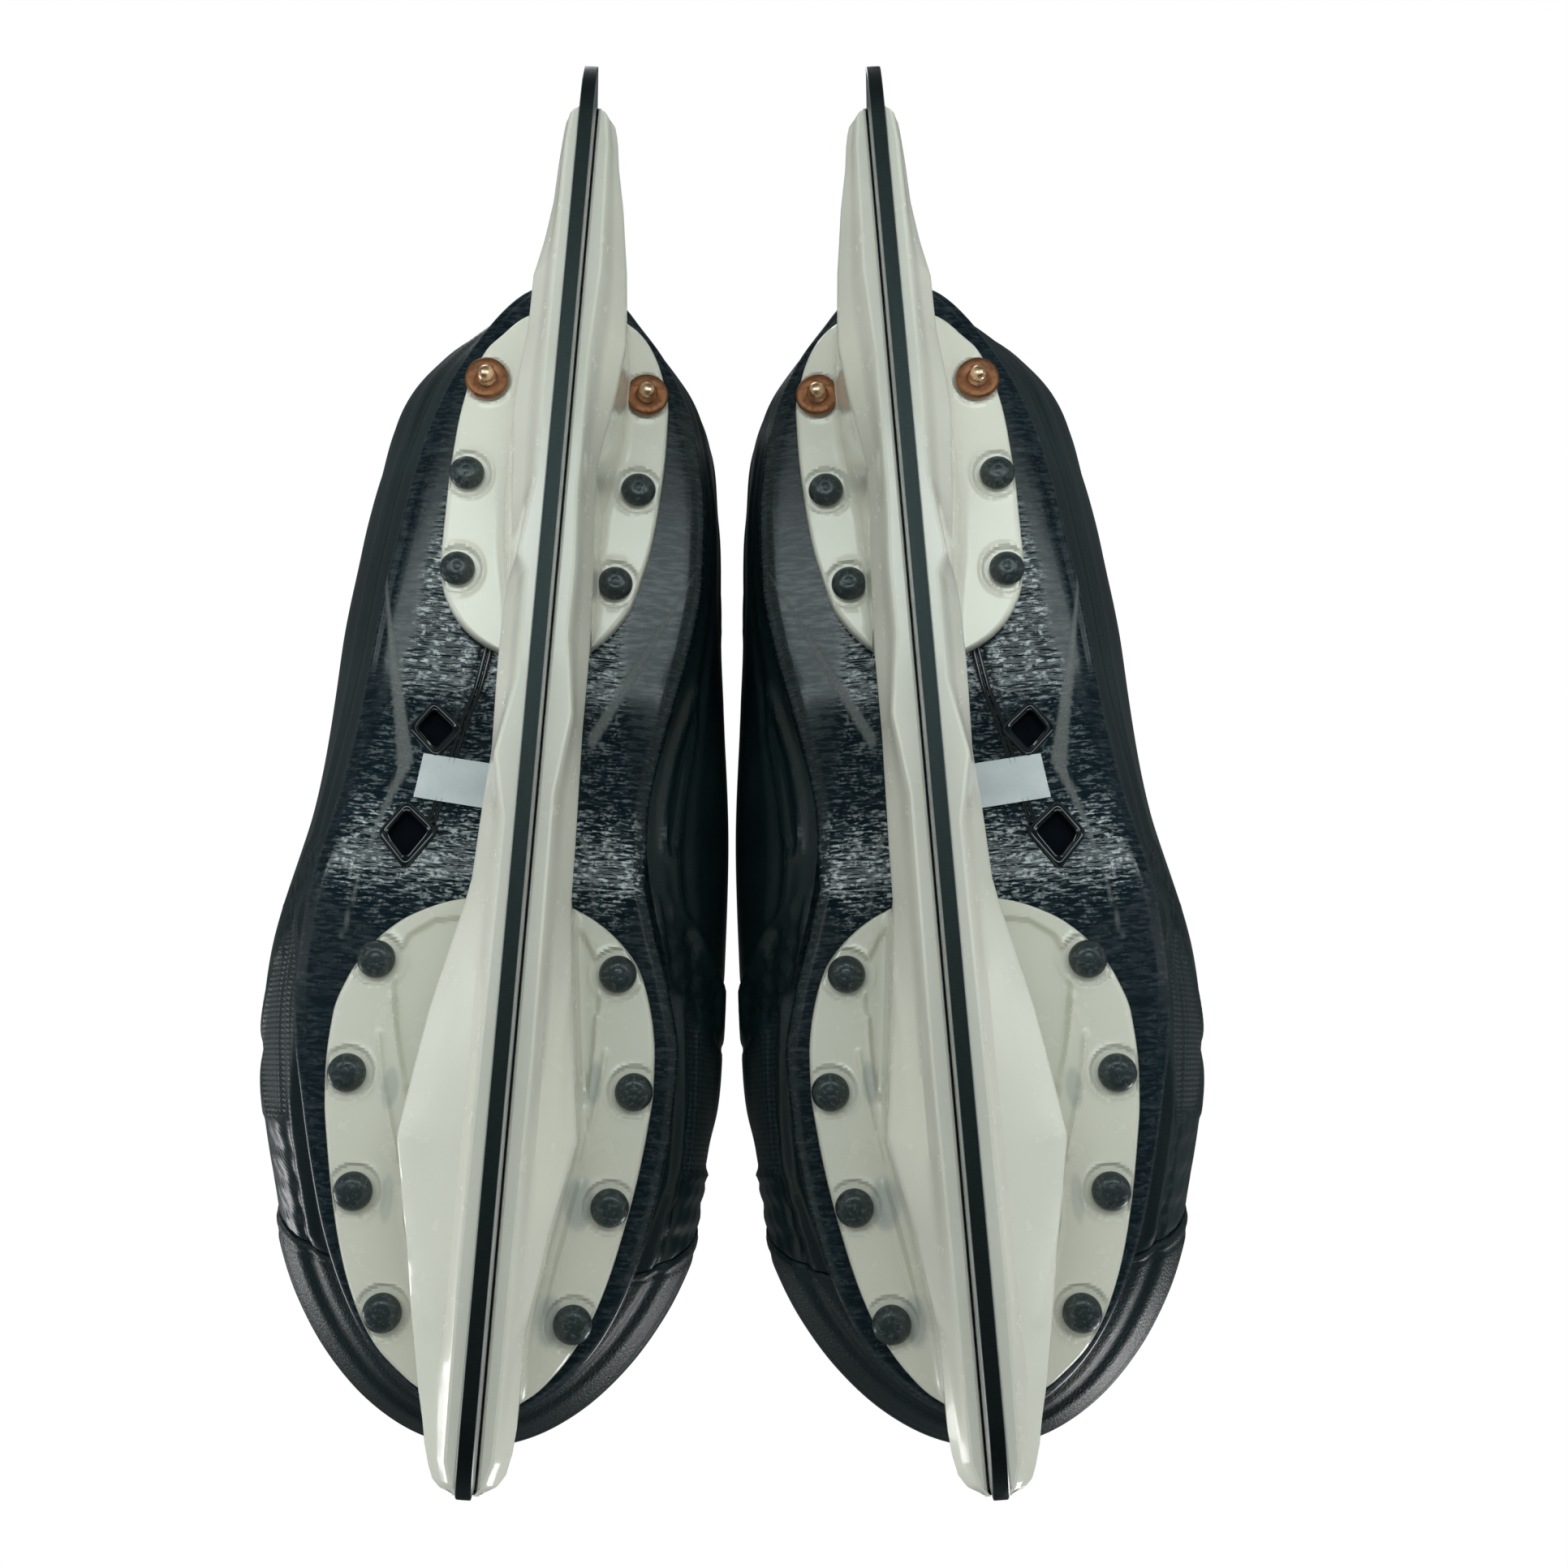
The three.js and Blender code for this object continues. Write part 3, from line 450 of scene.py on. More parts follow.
def shell_material():
    m = Mat("quarter_composite", rough=0.36, coat=0.2, coat_rough=0.15, spec=0.45)
    x, t, z = m.sep()[0:3]
    mesh, gloss = attr(m, "mesh"), attr(m, "gloss")
    k = 2 * math.pi / 1.55
    a = m.math("SINE", m.math("MULTIPLY", m.math("ADD", t, z), k * 0.7))
    b = m.math("SINE", m.math("MULTIPLY", m.math("SUBTRACT", t, z), k * 0.7))
    diamond = m.math("MULTIPLY", a, b)
    net = m.maprange(diamond, -0.3, 0.5)
    fine = m.noise(2.2, 4, 0.6)
    k2 = 2 * math.pi / 0.8
    twill = m.math("SINE", m.math("MULTIPLY", m.math("ADD", m.math("MULTIPLY", t, 0.8), m.math("MULTIPLY", z, 1.0)), k2))
    big = m.noise(0.04, 3)
    c = m.ramp(big, [(0.3, tone((12, 25, 28), 1.0)), (0.7, tone((20, 36, 39), 1.0))])
    c = m.mix(m.math("MULTIPLY", mesh, m.math("MULTIPLY", net, 0.7)), c, (*tone((44, 58, 62), 1.0), 1))
    pt = m.node("ShaderNodeNewGeometry").outputs["Pointiness"]
    wear = m.math("MULTIPLY", m.maprange(pt, 0.53, 0.60), m.maprange(m.noise(0.5, 5, 0.7), 0.42, 0.62))
    c = m.mix(m.math("MULTIPLY", wear, 0.35), c, (*tone((74, 84, 86), 1.0), 1))
    m.color(c)
    r = m.math("ADD", m.maprange(fine, 0.3, 0.7, 0.30, 0.42), m.math("MULTIPLY", mesh, 0.22))
    r = m.math("SUBTRACT", r, m.math("MULTIPLY", gloss, 0.18))
    m.rough(m.math("ADD", r, m.math("MULTIPLY", wear, 0.15), clamp=True))
    m.bump(m.math("MULTIPLY", m.maprange(twill, -1.0, 1.0), m.math("SUBTRACT", 1.0, m.math("MAXIMUM", mesh, gloss))), 0.000018, 0.8)
    m.bump(m.math("MULTIPLY", net, mesh), 0.00022, 0.9)
    m.bump(fine, 0.00003, 0.5)
    return m.m


def cap_material():
    m = Mat("toe_cap_plastic", rough=0.42, coat=0.04, coat_rough=0.3, spec=0.35)
    peb = m.noise(1.9, 3, 0.5)
    big = m.noise(0.06, 3)
    scuff = m.maprange(m.noise(1.0, 6, 0.7, src=m.scale((0.5, 0.5, 2.2))), 0.63, 0.72)
    c = m.ramp(big, [(0.3, tone((13, 26, 29), 1.0)), (0.7, tone((20, 36, 39), 1.0))])
    m.color(m.mix(m.math("MULTIPLY", scuff, 0.25), c, (*tone((80, 90, 92), 1.0), 1)))
    m.rough(m.math("ADD", m.maprange(peb, 0.3, 0.7, 0.32, 0.46), m.math("MULTIPLY", scuff, 0.16)))
    m.bump(m.maprange(peb, 0.38, 0.6), 0.00006, 0.7)
    m.bump(scuff, 0.00003, 0.5)
    return m.m


def fabric_material(name, dark, light, period, height, sheen, fuzz=0.0):
    m = Mat(name, rough=0.9, spec=0.25, sheen=sheen)
    m.b.inputs["Sheen Roughness"].default_value = 0.5
    x, t, z = m.sep()[0:3]
    k = 2 * math.pi / period
    wob = m.math("MULTIPLY", m.noise(0.35, 2), 1.6)
    u = m.math("SINE", m.math("MULTIPLY", m.math("ADD", m.math("ADD", x, t), wob), k))
    v = m.math("SINE", m.math("MULTIPLY", m.math("ADD", m.math("SUBTRACT", z, m.math("MULTIPLY", t, 0.3)), wob), k))
    knit = m.maprange(m.math("MULTIPLY", u, v), -1.0, 1.0)
    fib = m.noise(1.0, 5, 0.7, src=m.scale((2.0, 2.0, 5.0)))
    big = m.noise(0.05, 3)
    c = m.mix(m.math("MULTIPLY", m.math("ADD", knit, fib), 0.5, clamp=True), (*tone(dark, 1.0), 1), (*tone(light, 1.0), 1))
    c = m.mix(m.maprange(big, 0.4, 0.75, 0.0, 0.25), c, (*tone(dark, 0.85), 1))
    m.color(c)
    m.rough(m.maprange(fib, 0.3, 0.7, 0.82, 0.98))
    m.bump(knit, height, 0.8)
    m.bump(fib, height * (0.5 + fuzz), 0.9)
    return m.m


def leather_material(name, rgb, rough, cell=0.9, height=0.00008):
    m = Mat(name, rough=rough, coat=0.08, coat_rough=0.3, spec=0.45)
    n = m.node("ShaderNodeTexVoronoi", feature="DISTANCE_TO_EDGE")
    m.link(m.loc, n.inputs["Vector"])
    n.inputs["Scale"].default_value = cell
    crease = m.maprange(n.outputs["Distance"], 0.0, 0.12)
    fine = m.noise(3.0, 4, 0.6)
    big = m.noise(0.08, 3)
    c = m.ramp(big, [(0.3, tone(rgb, 0.8)), (0.7, tone(rgb, 1.25))])
    c = m.mix(m.math("MULTIPLY", m.math("SUBTRACT", 1.0, crease), 0.4), c, (*tone(rgb, 0.45), 1))
    m.color(c)
    m.rough(m.math("ADD", m.maprange(fine, 0.3, 0.7, rough - 0.08, rough + 0.08), m.math("MULTIPLY", m.math("SUBTRACT", 1.0, crease), 0.12)))
    m.bump(crease, height, 0.7)
    m.bump(fine, height * 0.4, 0.5)
    return m.m


def rivet_material():
    m = Mat("rivet_black", rough=0.32, metal=0.35, coat=0.25, coat_rough=0.12, spec=0.5)
    chip = m.maprange(m.noise(1.1, 5, 0.65), 0.54, 0.62)
    fine = m.noise(4.0, 3)
    c = m.mix(fine, (*tone((38, 47, 48), 1.0), 1), (*tone((58, 68, 69), 1.0), 1))
    c = m.mix(m.math("MULTIPLY", chip, 0.4), c, (*tone((104, 114, 114), 1.0), 1))
    m.color(c)
    m.rough(m.math("ADD", m.maprange(fine, 0.3, 0.7, 0.26, 0.38), m.math("MULTIPLY", chip, 0.2)))
    m.bump(chip, 0.00005, 0.8)
    m.bump(fine, 0.00003, 0.6)
    return m.m


def metal_material(name, lo, hi, rough, scale=(6, 6, 0.6), tarnish=None, height=0.00003, obj=False):
    m = Mat(name, rough=rough, metal=1.0)
    if obj:
        mul = m.node("ShaderNodeVectorMath", operation="SCALE")
        m.link(m.node("ShaderNodeTexCoord").outputs["Object"], mul.inputs[0])
        mul.inputs["Scale"].default_value = 1000.0
        m.loc = mul.outputs["Vector"]
    br = m.noise(1.0, 5, 0.6, src=m.scale(scale))
    spot = m.maprange(m.noise(0.7, 4, 0.6), 0.5, 0.68)
    c = m.mix(br, (*tone(lo, 1.0), 1), (*tone(hi, 1.0), 1))
    if tarnish:
        c = m.mix(m.math("MULTIPLY", spot, 0.5), c, (*tone(tarnish, 1.0), 1))
    m.color(c)
    m.rough(m.math("ADD", m.maprange(br, 0.3, 0.7, rough - 0.07, rough + 0.07), m.math("MULTIPLY", spot, 0.12)))
    m.bump(br, height, 0.7)
    m.bump(spot, height, 0.5)
    return m.m


def label_material():
    m = Mat("label_film", rough=0.3, coat=0.2, coat_rough=0.1, spec=0.5)
    fib = m.noise(2.0, 4, 0.6)
    big = m.noise(0.12, 3)
    c = m.ramp(big, [(0.3, tone((196, 206, 206), 1.0)), (0.7, tone((212, 220, 219), 1.0))])
    c = m.mix(m.math("MULTIPLY", m.maprange(fib, 0.5, 0.7), 0.12), c, (*tone((176, 186, 188), 1.0), 1))
    m.color(c)
    m.rough(m.maprange(fib, 0.3, 0.7, 0.24, 0.38))
    m.bump(big, 0.0002, 0.4)
    m.bump(fib, 0.00002, 0.5)
    return m.m


def rubber_material(name, rgb, rough, coat=0.3, spec=0.5):
    m = Mat(name, rough=rough, coat=coat, coat_rough=0.08, spec=spec)
    n = m.noise(1.6, 4, 0.55)
    big = m.noise(0.2, 3)
    m.color(m.ramp(big, [(0.3, tone(rgb, 0.8)), (0.7, tone(rgb, 1.25))]))
    m.rough(m.maprange(n, 0.3, 0.7, rough - 0.06, rough + 0.1))
    m.bump(n, 0.00002, 0.5)
    return m.m


M_HOLDER = holder_material()
M_STEEL = runner_material()
M_SOLE = sole_material()
M_SHELL = shell_material()
M_CAP = cap_material()
M_LINING = fabric_material("lining", (30, 36, 40), (62, 70, 74), 1.1, 0.00012, 0.25)
M_FELT = fabric_material("tongue_felt", (166, 168, 162), (214, 214, 206), 1.6, 0.00016, 0.3, fuzz=0.8)
M_STAY = leather_material("stay", (24, 31, 35), 0.5)
M_BED = fabric_material("footbed_foam", (46, 52, 56), (84, 90, 94), 1.4, 0.0001, 0.15)
M_GUARD = leather_material("guard_plastic", (21, 29, 32), 0.42, cell=1.6, height=0.00004)
M_RIVET = rivet_material()
M_COPPER = metal_material("copper", (132, 88, 62), (178, 124, 90), 0.46, scale=(3, 3, 1), tarnish=(96, 64, 46))
M_PIN = metal_material("copper_pin", (240, 196, 162), (252, 218, 184), 0.3, scale=(2, 2, 5), tarnish=(190, 128, 98))
M_THREAD = rubber_material("thread", (50, 58, 62), 0.6)
M_RIM = rubber_material("vent_rim", (12, 19, 24), 0.12, coat=0.6)
# painted shade: the vents' near-black, almost unreflecting floors
M_VENT_SHADE = rubber_material("vent_floor_painted_shade", (3, 9, 17), 0.8, coat=0.0, spec=0.08)
M_LABEL = label_material()
M_BOLT = metal_material("bolt_steel", (140, 142, 146), (176, 178, 180), 0.34, scale=(5, 5, 1), tarnish=(112, 110, 108), obj=True)


# ------------------------------------------------------------ sole geometry
SOLE = [[20, 9, -5], [23, 14, -9.5], [28, 18.5, -14], [36, 23.5, -20.5], [47, 29, -26.5], [60, 33, -30.5], [75, 35.6, -32.6],
        [90, 37.6, -33], [104, 39.2, -31.5], [118, 40.2, -28.7], [132, 41, -26], [146, 42.2, -24.4], [158, 44, -24.4], [170, 45.8, -27],
        [184, 46.4, -31.5], [198, 45, -34.4], [211, 42.2, -34], [223, 39.2, -32.6], [235, 35.6, -30.2], [246, 31, -27], [255, 25.8, -22.8],
        [262, 20, -17.5], [267, 14, -12], [270.5, 8, -5.5]]


def sole_z(t):
    return (HEEL_SEAT + 0.3) + (FORE_SEAT - HEEL_SEAT) * smooth01(114, 166, t) + 2.0 * smooth01(258, 274, t)


def feather(t):
    return sole_z(t) + OUTSOLE_H + GAP + 0.15


# ----------------------------------------------------------- upper geometry
LEVEL = [0, 0.14, 0.34, 0.6, 0.82, 1]
ST_T0, ST_T1 = [242, 215, 185, 150, 118, 88, 60, 36], [214, 190, 163, 137, 118, 104, 76, 47]
ROW_Z = [None, None, [74, 79, 83, 89, 95, 97, 96, 94], [89, 96, 103, 116, 133, 142, 142, 140],
         [98, 107, 120, 141, 165, 181, 178, 175], [103, 113, 130, 155, 181, 211, 203, 203]]
OUTER_X = [[32.6, 41.0, 46.2, 42.7, 40.1, 37.4, 33, 23.5], None, [47.5, 54.8, 56.5, 51.6, 48.8, 47, 43.5, 35.5],
           [42, 49, 50, 48, 47.5, 47, 44.5, 33.5], [30, 34, 34.5, 35, 39, 42.5, 42.5, 33.5], [20.5, 21.5, 22, 23, 26, 31, 42, 35]]
INNER_X = [[-28.1, -33.5, -31.7, -24.3, -28.7, -33, -30.5, -20.5], None, [-42, -44.9, -45.2, -44.6, -42.4, -39.5, -37, -29.5],
           [-36.5, -41, -42, -42.5, -42, -42, -40, -28.5], [-25, -28, -29, -32, -37, -40.5, -40.5, -30], [-17, -18, -19, -20, -23, -28, -39.5, -32]]
HEEL_LINE = [[2.2, 18.2], [2.4, 15], [2.5, 13], [2.5, 17], [2.5, 23.5], [2.5, 25.5]]
HEEL_Z = [None, 77, 94, 132, 172, 205]


def side_rib(X, s):
    t0, t1, zf = ST_T0[s], ST_T1[s], float(feather(ST_T0[s]))
    out = []
    for k, v in enumerate(LEVEL):
        t = t0 + (t1 - t0) * v
        if k == 0:
            out.append([X[0][s], t0, zf])
        elif k == 1:
            out.append([X[0][s] + (X[2][s] - X[0][s]) * 0.66, t, zf + 0.4 * (ROW_Z[2][s] - zf)])
        else:
            out.append([X[k][s], t, ROW_Z[k][s]])
    return out


UPPER = np.array([side_rib(OUTER_X, s) for s in range(8)]
                 + [[[x, t, float(feather(t)) if k == 0 else HEEL_Z[k]] for k, (x, t) in enumerate(HEEL_LINE)]]
                 + [side_rib(INNER_X, s) for s in range(7, -1, -1)], float)


# ------------------------------------------------------------------- holder
KO = [(4.4, 3.0), (4.8, 4.1), (5.6, 4.8), (7, 5.1), (9, 5.3), (14, 5.7), (22, 6.2), (30, 7.6), (37, 9.2), (49, 9.4), (60, 10.6), (67, 11), (80, 10), (101.7, 8.4), (109, 9.1), (122, 9.1),
      (140, 8.6), (153, 9.5), (166, 10.1), (171.3, 11.1), (191.5, 15.8), (205, 18), (216, 19.6), (216.8, 19.6), (227, 17.6), (234.3, 16.0), (249, 13.2),
      (259.6, 11.0), (266, 9.3), (270, 8.4), (273.5, 7.3), (275.6, 6.4), (277, 4.9), (277.6, 3.0)]
KI = [(4.4, 3.2), (4.8, 4.6), (5.6, 5.5), (7, 6.0), (9, 6.4), (14, 7.0), (22, 8.6), (34.7, 10.4), (43, 11.1), (50.4, 11.5), (60.7, 10.3), (79, 7.4), (90, 8), (105.4, 8.8), (118, 9.2),
      (135, 9.1), (158, 9.6), (169, 9.7), (191, 11.8), (205, 13.4), (215, 14.6), (215.8, 14.6), (232.7, 10.6), (250.6, 7.9), (255, 7.8),
      (262, 7.9), (267, 7.9), (271, 7.5), (274.5, 6.7), (276.4, 5.4), (277.6, 3.0)]
KZ = [(4.4, 18.6), (5.5, 19.3), (8, 20.5), (14, 21.5), (22, 23.5), (30, 26), (45, 28), (75, 29), (104, 29), (134, 27), (164, 27), (190, 27.5), (221, 28), (240, 25.5),
      (258, 22), (266, 20.5), (271, 19.2), (277.6, 17.8)]
KT = [(4.4, 21), (5.5, 23.5), (8, 27), (14, 33), (22, 45), (28.4, 55), (45, 57), (104, 57), (113.2, 56), (117, 47.5), (124, 43), (134, 41), (150, 39.5), (160, 41), (166, 45),
      (172, 46), (262, 46), (267.7, 41), (270, 33), (273, 28), (276, 23.5), (277.6, 20.5)]
RAIL_O = [(4.4, 2.4), (4.8, 3.4), (5.6, 4.0), (12, 4.6), (60, 4.9), (86, 4.6), (102, 6.6), (106, 4.7), (128, 4.6), (143, 7.4), (156, 4.8), (200, 5.2), (240, 5.4), (262, 5.0), (272, 4.8), (276, 3.6), (277.6, 2.2)]
RAIL_I = [(4.4, 2.4), (4.8, 3.4), (5.6, 4.0), (12, 4.8), (40, 5.6), (60, 4.6), (88, 4.6), (104, 5.4), (118, 5.2), (134, 7.2), (150, 5.2), (200, 5.6), (240, 5.2), (262, 5.0), (272, 4.8), (276, 3.6), (277.6, 2.2)]
ROOT_O = [(28.5, 8), (34, 10.5), (45, 12.0), (60, 12.8), (76, 13.0), (90, 12), (100, 10.2), (108, 9.3), (113, 9.2),
          (166.3, 9.6), (172, 10.6), (191.5, 14.6), (205, 16.6), (216, 17.8), (227, 16.2), (234, 14.6), (249, 12.0), (259, 10), (264, 8.6), (267.6, 7.6)]
ROOT_I = [(28.5, 9.5), (34, 11.3), (45, 12.4), (60, 12.2), (70, 10.6), (79, 9.2), (90, 8.9), (100, 9.2), (108, 9), (113, 9.2),
          (166.3, 9.6), (172, 10.2), (191, 12.3), (205, 13.9), (215, 14.9), (225, 13.2), (233, 11.4), (250, 8.7), (255, 8.3), (262, 7.9), (267.6, 7.2)]
FL_HEEL_O = [(28.5, 2), (29.2, 6.5), (31.5, 12.7), (36, 17.1), (40.6, 20.8), (49.5, 23.9), (60.1, 25.4), (76.1, 26.1), (90.7, 26.1), (97, 25.1), (102.5, 22.6), (107.1, 18.4), (110.8, 11.8), (113, 3)]
FL_HEEL_I = [(28.5, 2), (29.1, 7), (31.3, 12.4), (33.6, 15.2), (37.5, 17.9), (43, 20.2), (51.5, 22.1), (61.3, 22.2), (72, 21.7), (82.7, 20.7), (91, 19), (98.2, 17.1), (103.4, 14.1), (108.4, 9.4), (113, 2)]
FL_FORE_O = [(166.3, 3), (167.8, 13), (169.8, 19.1), (173.5, 25.6), (179.4, 31.3), (185.8, 34.9), (192.9, 37.0), (201, 37.4), (210.5, 36.8), (219.6, 35.3), (231.4, 32.8), (241.3, 30.0), (250.4, 26.2), (257.1, 21.9), (262, 16.6), (265, 12.2), (267.6, 4)]
FL_FORE_I = [(166.3, 3), (168.2, 10), (170.7, 15.2), (174.9, 20.6), (179.7, 24.5), (185.3, 26.8), (192, 28.5), (197.6, 29.2), (205.1, 29.4), (212.5, 28.8), (221.6, 27.6), (232, 25.6), (241.7, 23.3), (249, 20.9), (255.6, 17.7), (261.7, 13.4), (266.6, 7.7), (267.6, 3)]


def seg_dist(x, t, line):
    """Distance from points to a polyline in (x, t), and the place along it 0..1."""
    L = np.asarray(line, float)
    best = np.full(np.shape(x), 1e9)
    where = np.zeros(np.shape(x))
    cum = np.concatenate([[0], np.cumsum(np.linalg.norm(np.diff(L, axis=0), axis=1))])
    for i in range(len(L) - 1):
        a, b = L[i], L[i + 1]
        d = b - a
        s = np.clip(((x - a[0]) * d[0] + (t - a[1]) * d[1]) / (d @ d), 0, 1)
        q = np.hypot(x - a[0] - s * d[0], t - a[1] - s * d[1])
        w = (cum[i] + s * (cum[i + 1] - cum[i])) / cum[-1]
        where = np.where(q < best, w, where)
        best = np.minimum(best, q)
    return best, where


def in_poly(x, t, poly):
    """Signed distance, positive inside the polygon."""
    P = np.asarray(poly, float)
    inside = np.zeros(np.shape(x), bool)
    j = len(P) - 1
    for i in range(len(P)):
        c = ((P[i, 1] > t) != (P[j, 1] > t)) & (x < (P[j, 0] - P[i, 0]) * (t - P[i, 1]) / (P[j, 1] - P[i, 1] + 1e-12) + P[i, 0])
        inside ^= c
        j = i
    d, _ = seg_dist(x, t, np.vstack([P, P[:1]]))
    return np.where(inside, d, -d)


RIBS = [([(27.5, 195.4), (25.8, 204.2), (23.2, 213.7), (20.6, 222.3)], 0.6, 0.9), ([(25.6, 187.8), (23.6, 197.5), (21.6, 204.7), (20.2, 207.5)], 0.6, 0.85),
        ([(-19.1, 196.3), (-18.2, 205.3), (-16.8, 214.4), (-15.6, 220.7)], 0.6, 0.85),
        ([(-16.4, 189.0), (-16.6, 196.5), (-16.2, 204.7), (-15.6, 207.4)], 0.55, 0.8),
        ([(19.1, 226), (18.6, 233.3), (16.2, 243.0), (13.0, 251.1)], 0.6, 0.8), ([(-16.3, 222.5), (-14.2, 233.3), (-12.4, 242.6), (-10.6, 251.5)], 0.6, 0.8)]
CREASES = [([(19.1, 224.3), (15.9, 233.3), (12.6, 243.0), (9.9, 251.1)], 0.9, 0.55), ([(-14.5, 221.5), (-11.9, 233.3), (-9.6, 242.6), (-6.8, 251.5)], 0.9, 0.5),
           ([(10.6, 180.1), (12.5, 196), (14.0, 210), (18.6, 219.4)], 0.8, 0.35), ([(-11, 178), (-10.2, 196), (-10.5, 210), (-14.2, 219.7)], 0.8, 0.35)]
POCKETS = [[(9, 171.0), (18.2, 172.6), (23.3, 176.1), (25.4, 182), (25.3, 188), (23.9, 197.5), (22.2, 204.7), (20.6, 209), (14, 205), (9, 185)],
           [(-9, 170.6), (-12.7, 173.6), (-15.9, 179.1), (-16.9, 185), (-16.9, 189), (-16.9, 196.5), (-16.4, 204.7), (-15.4, 209), (-11, 200), (-9, 180)],
           [(15, 55), (18.5, 52), (19.5, 60), (16, 62)]]


def holder_rows():
    t = np.concatenate([[4.4, 4.5, 4.62, 4.8, 5.0], np.linspace(5.25, 9, 9), np.arange(9.8, 28, 0.9), [28.3, 28.55, 28.8, 29.2, 29.7, 30.3, 31], np.arange(31.6, 106, 0.6),
                        np.arange(106.2, 112.6, 0.5), [112.7, 113.0, 113.15, 113.5, 114.2], np.arange(115, 166, 1.1), [166.1, 166.35, 166.7, 167.2, 167.8, 168.5],
                        np.arange(169.1, 262, 0.6), np.arange(262.2, 267.5, 0.45), [267.6, 267.75, 268.2, 269], np.arange(270, 276.6, 0.5), [276.8, 277.1, 277.35, 277.5, 277.6]])
    return np.unique(np.round(t, 3))


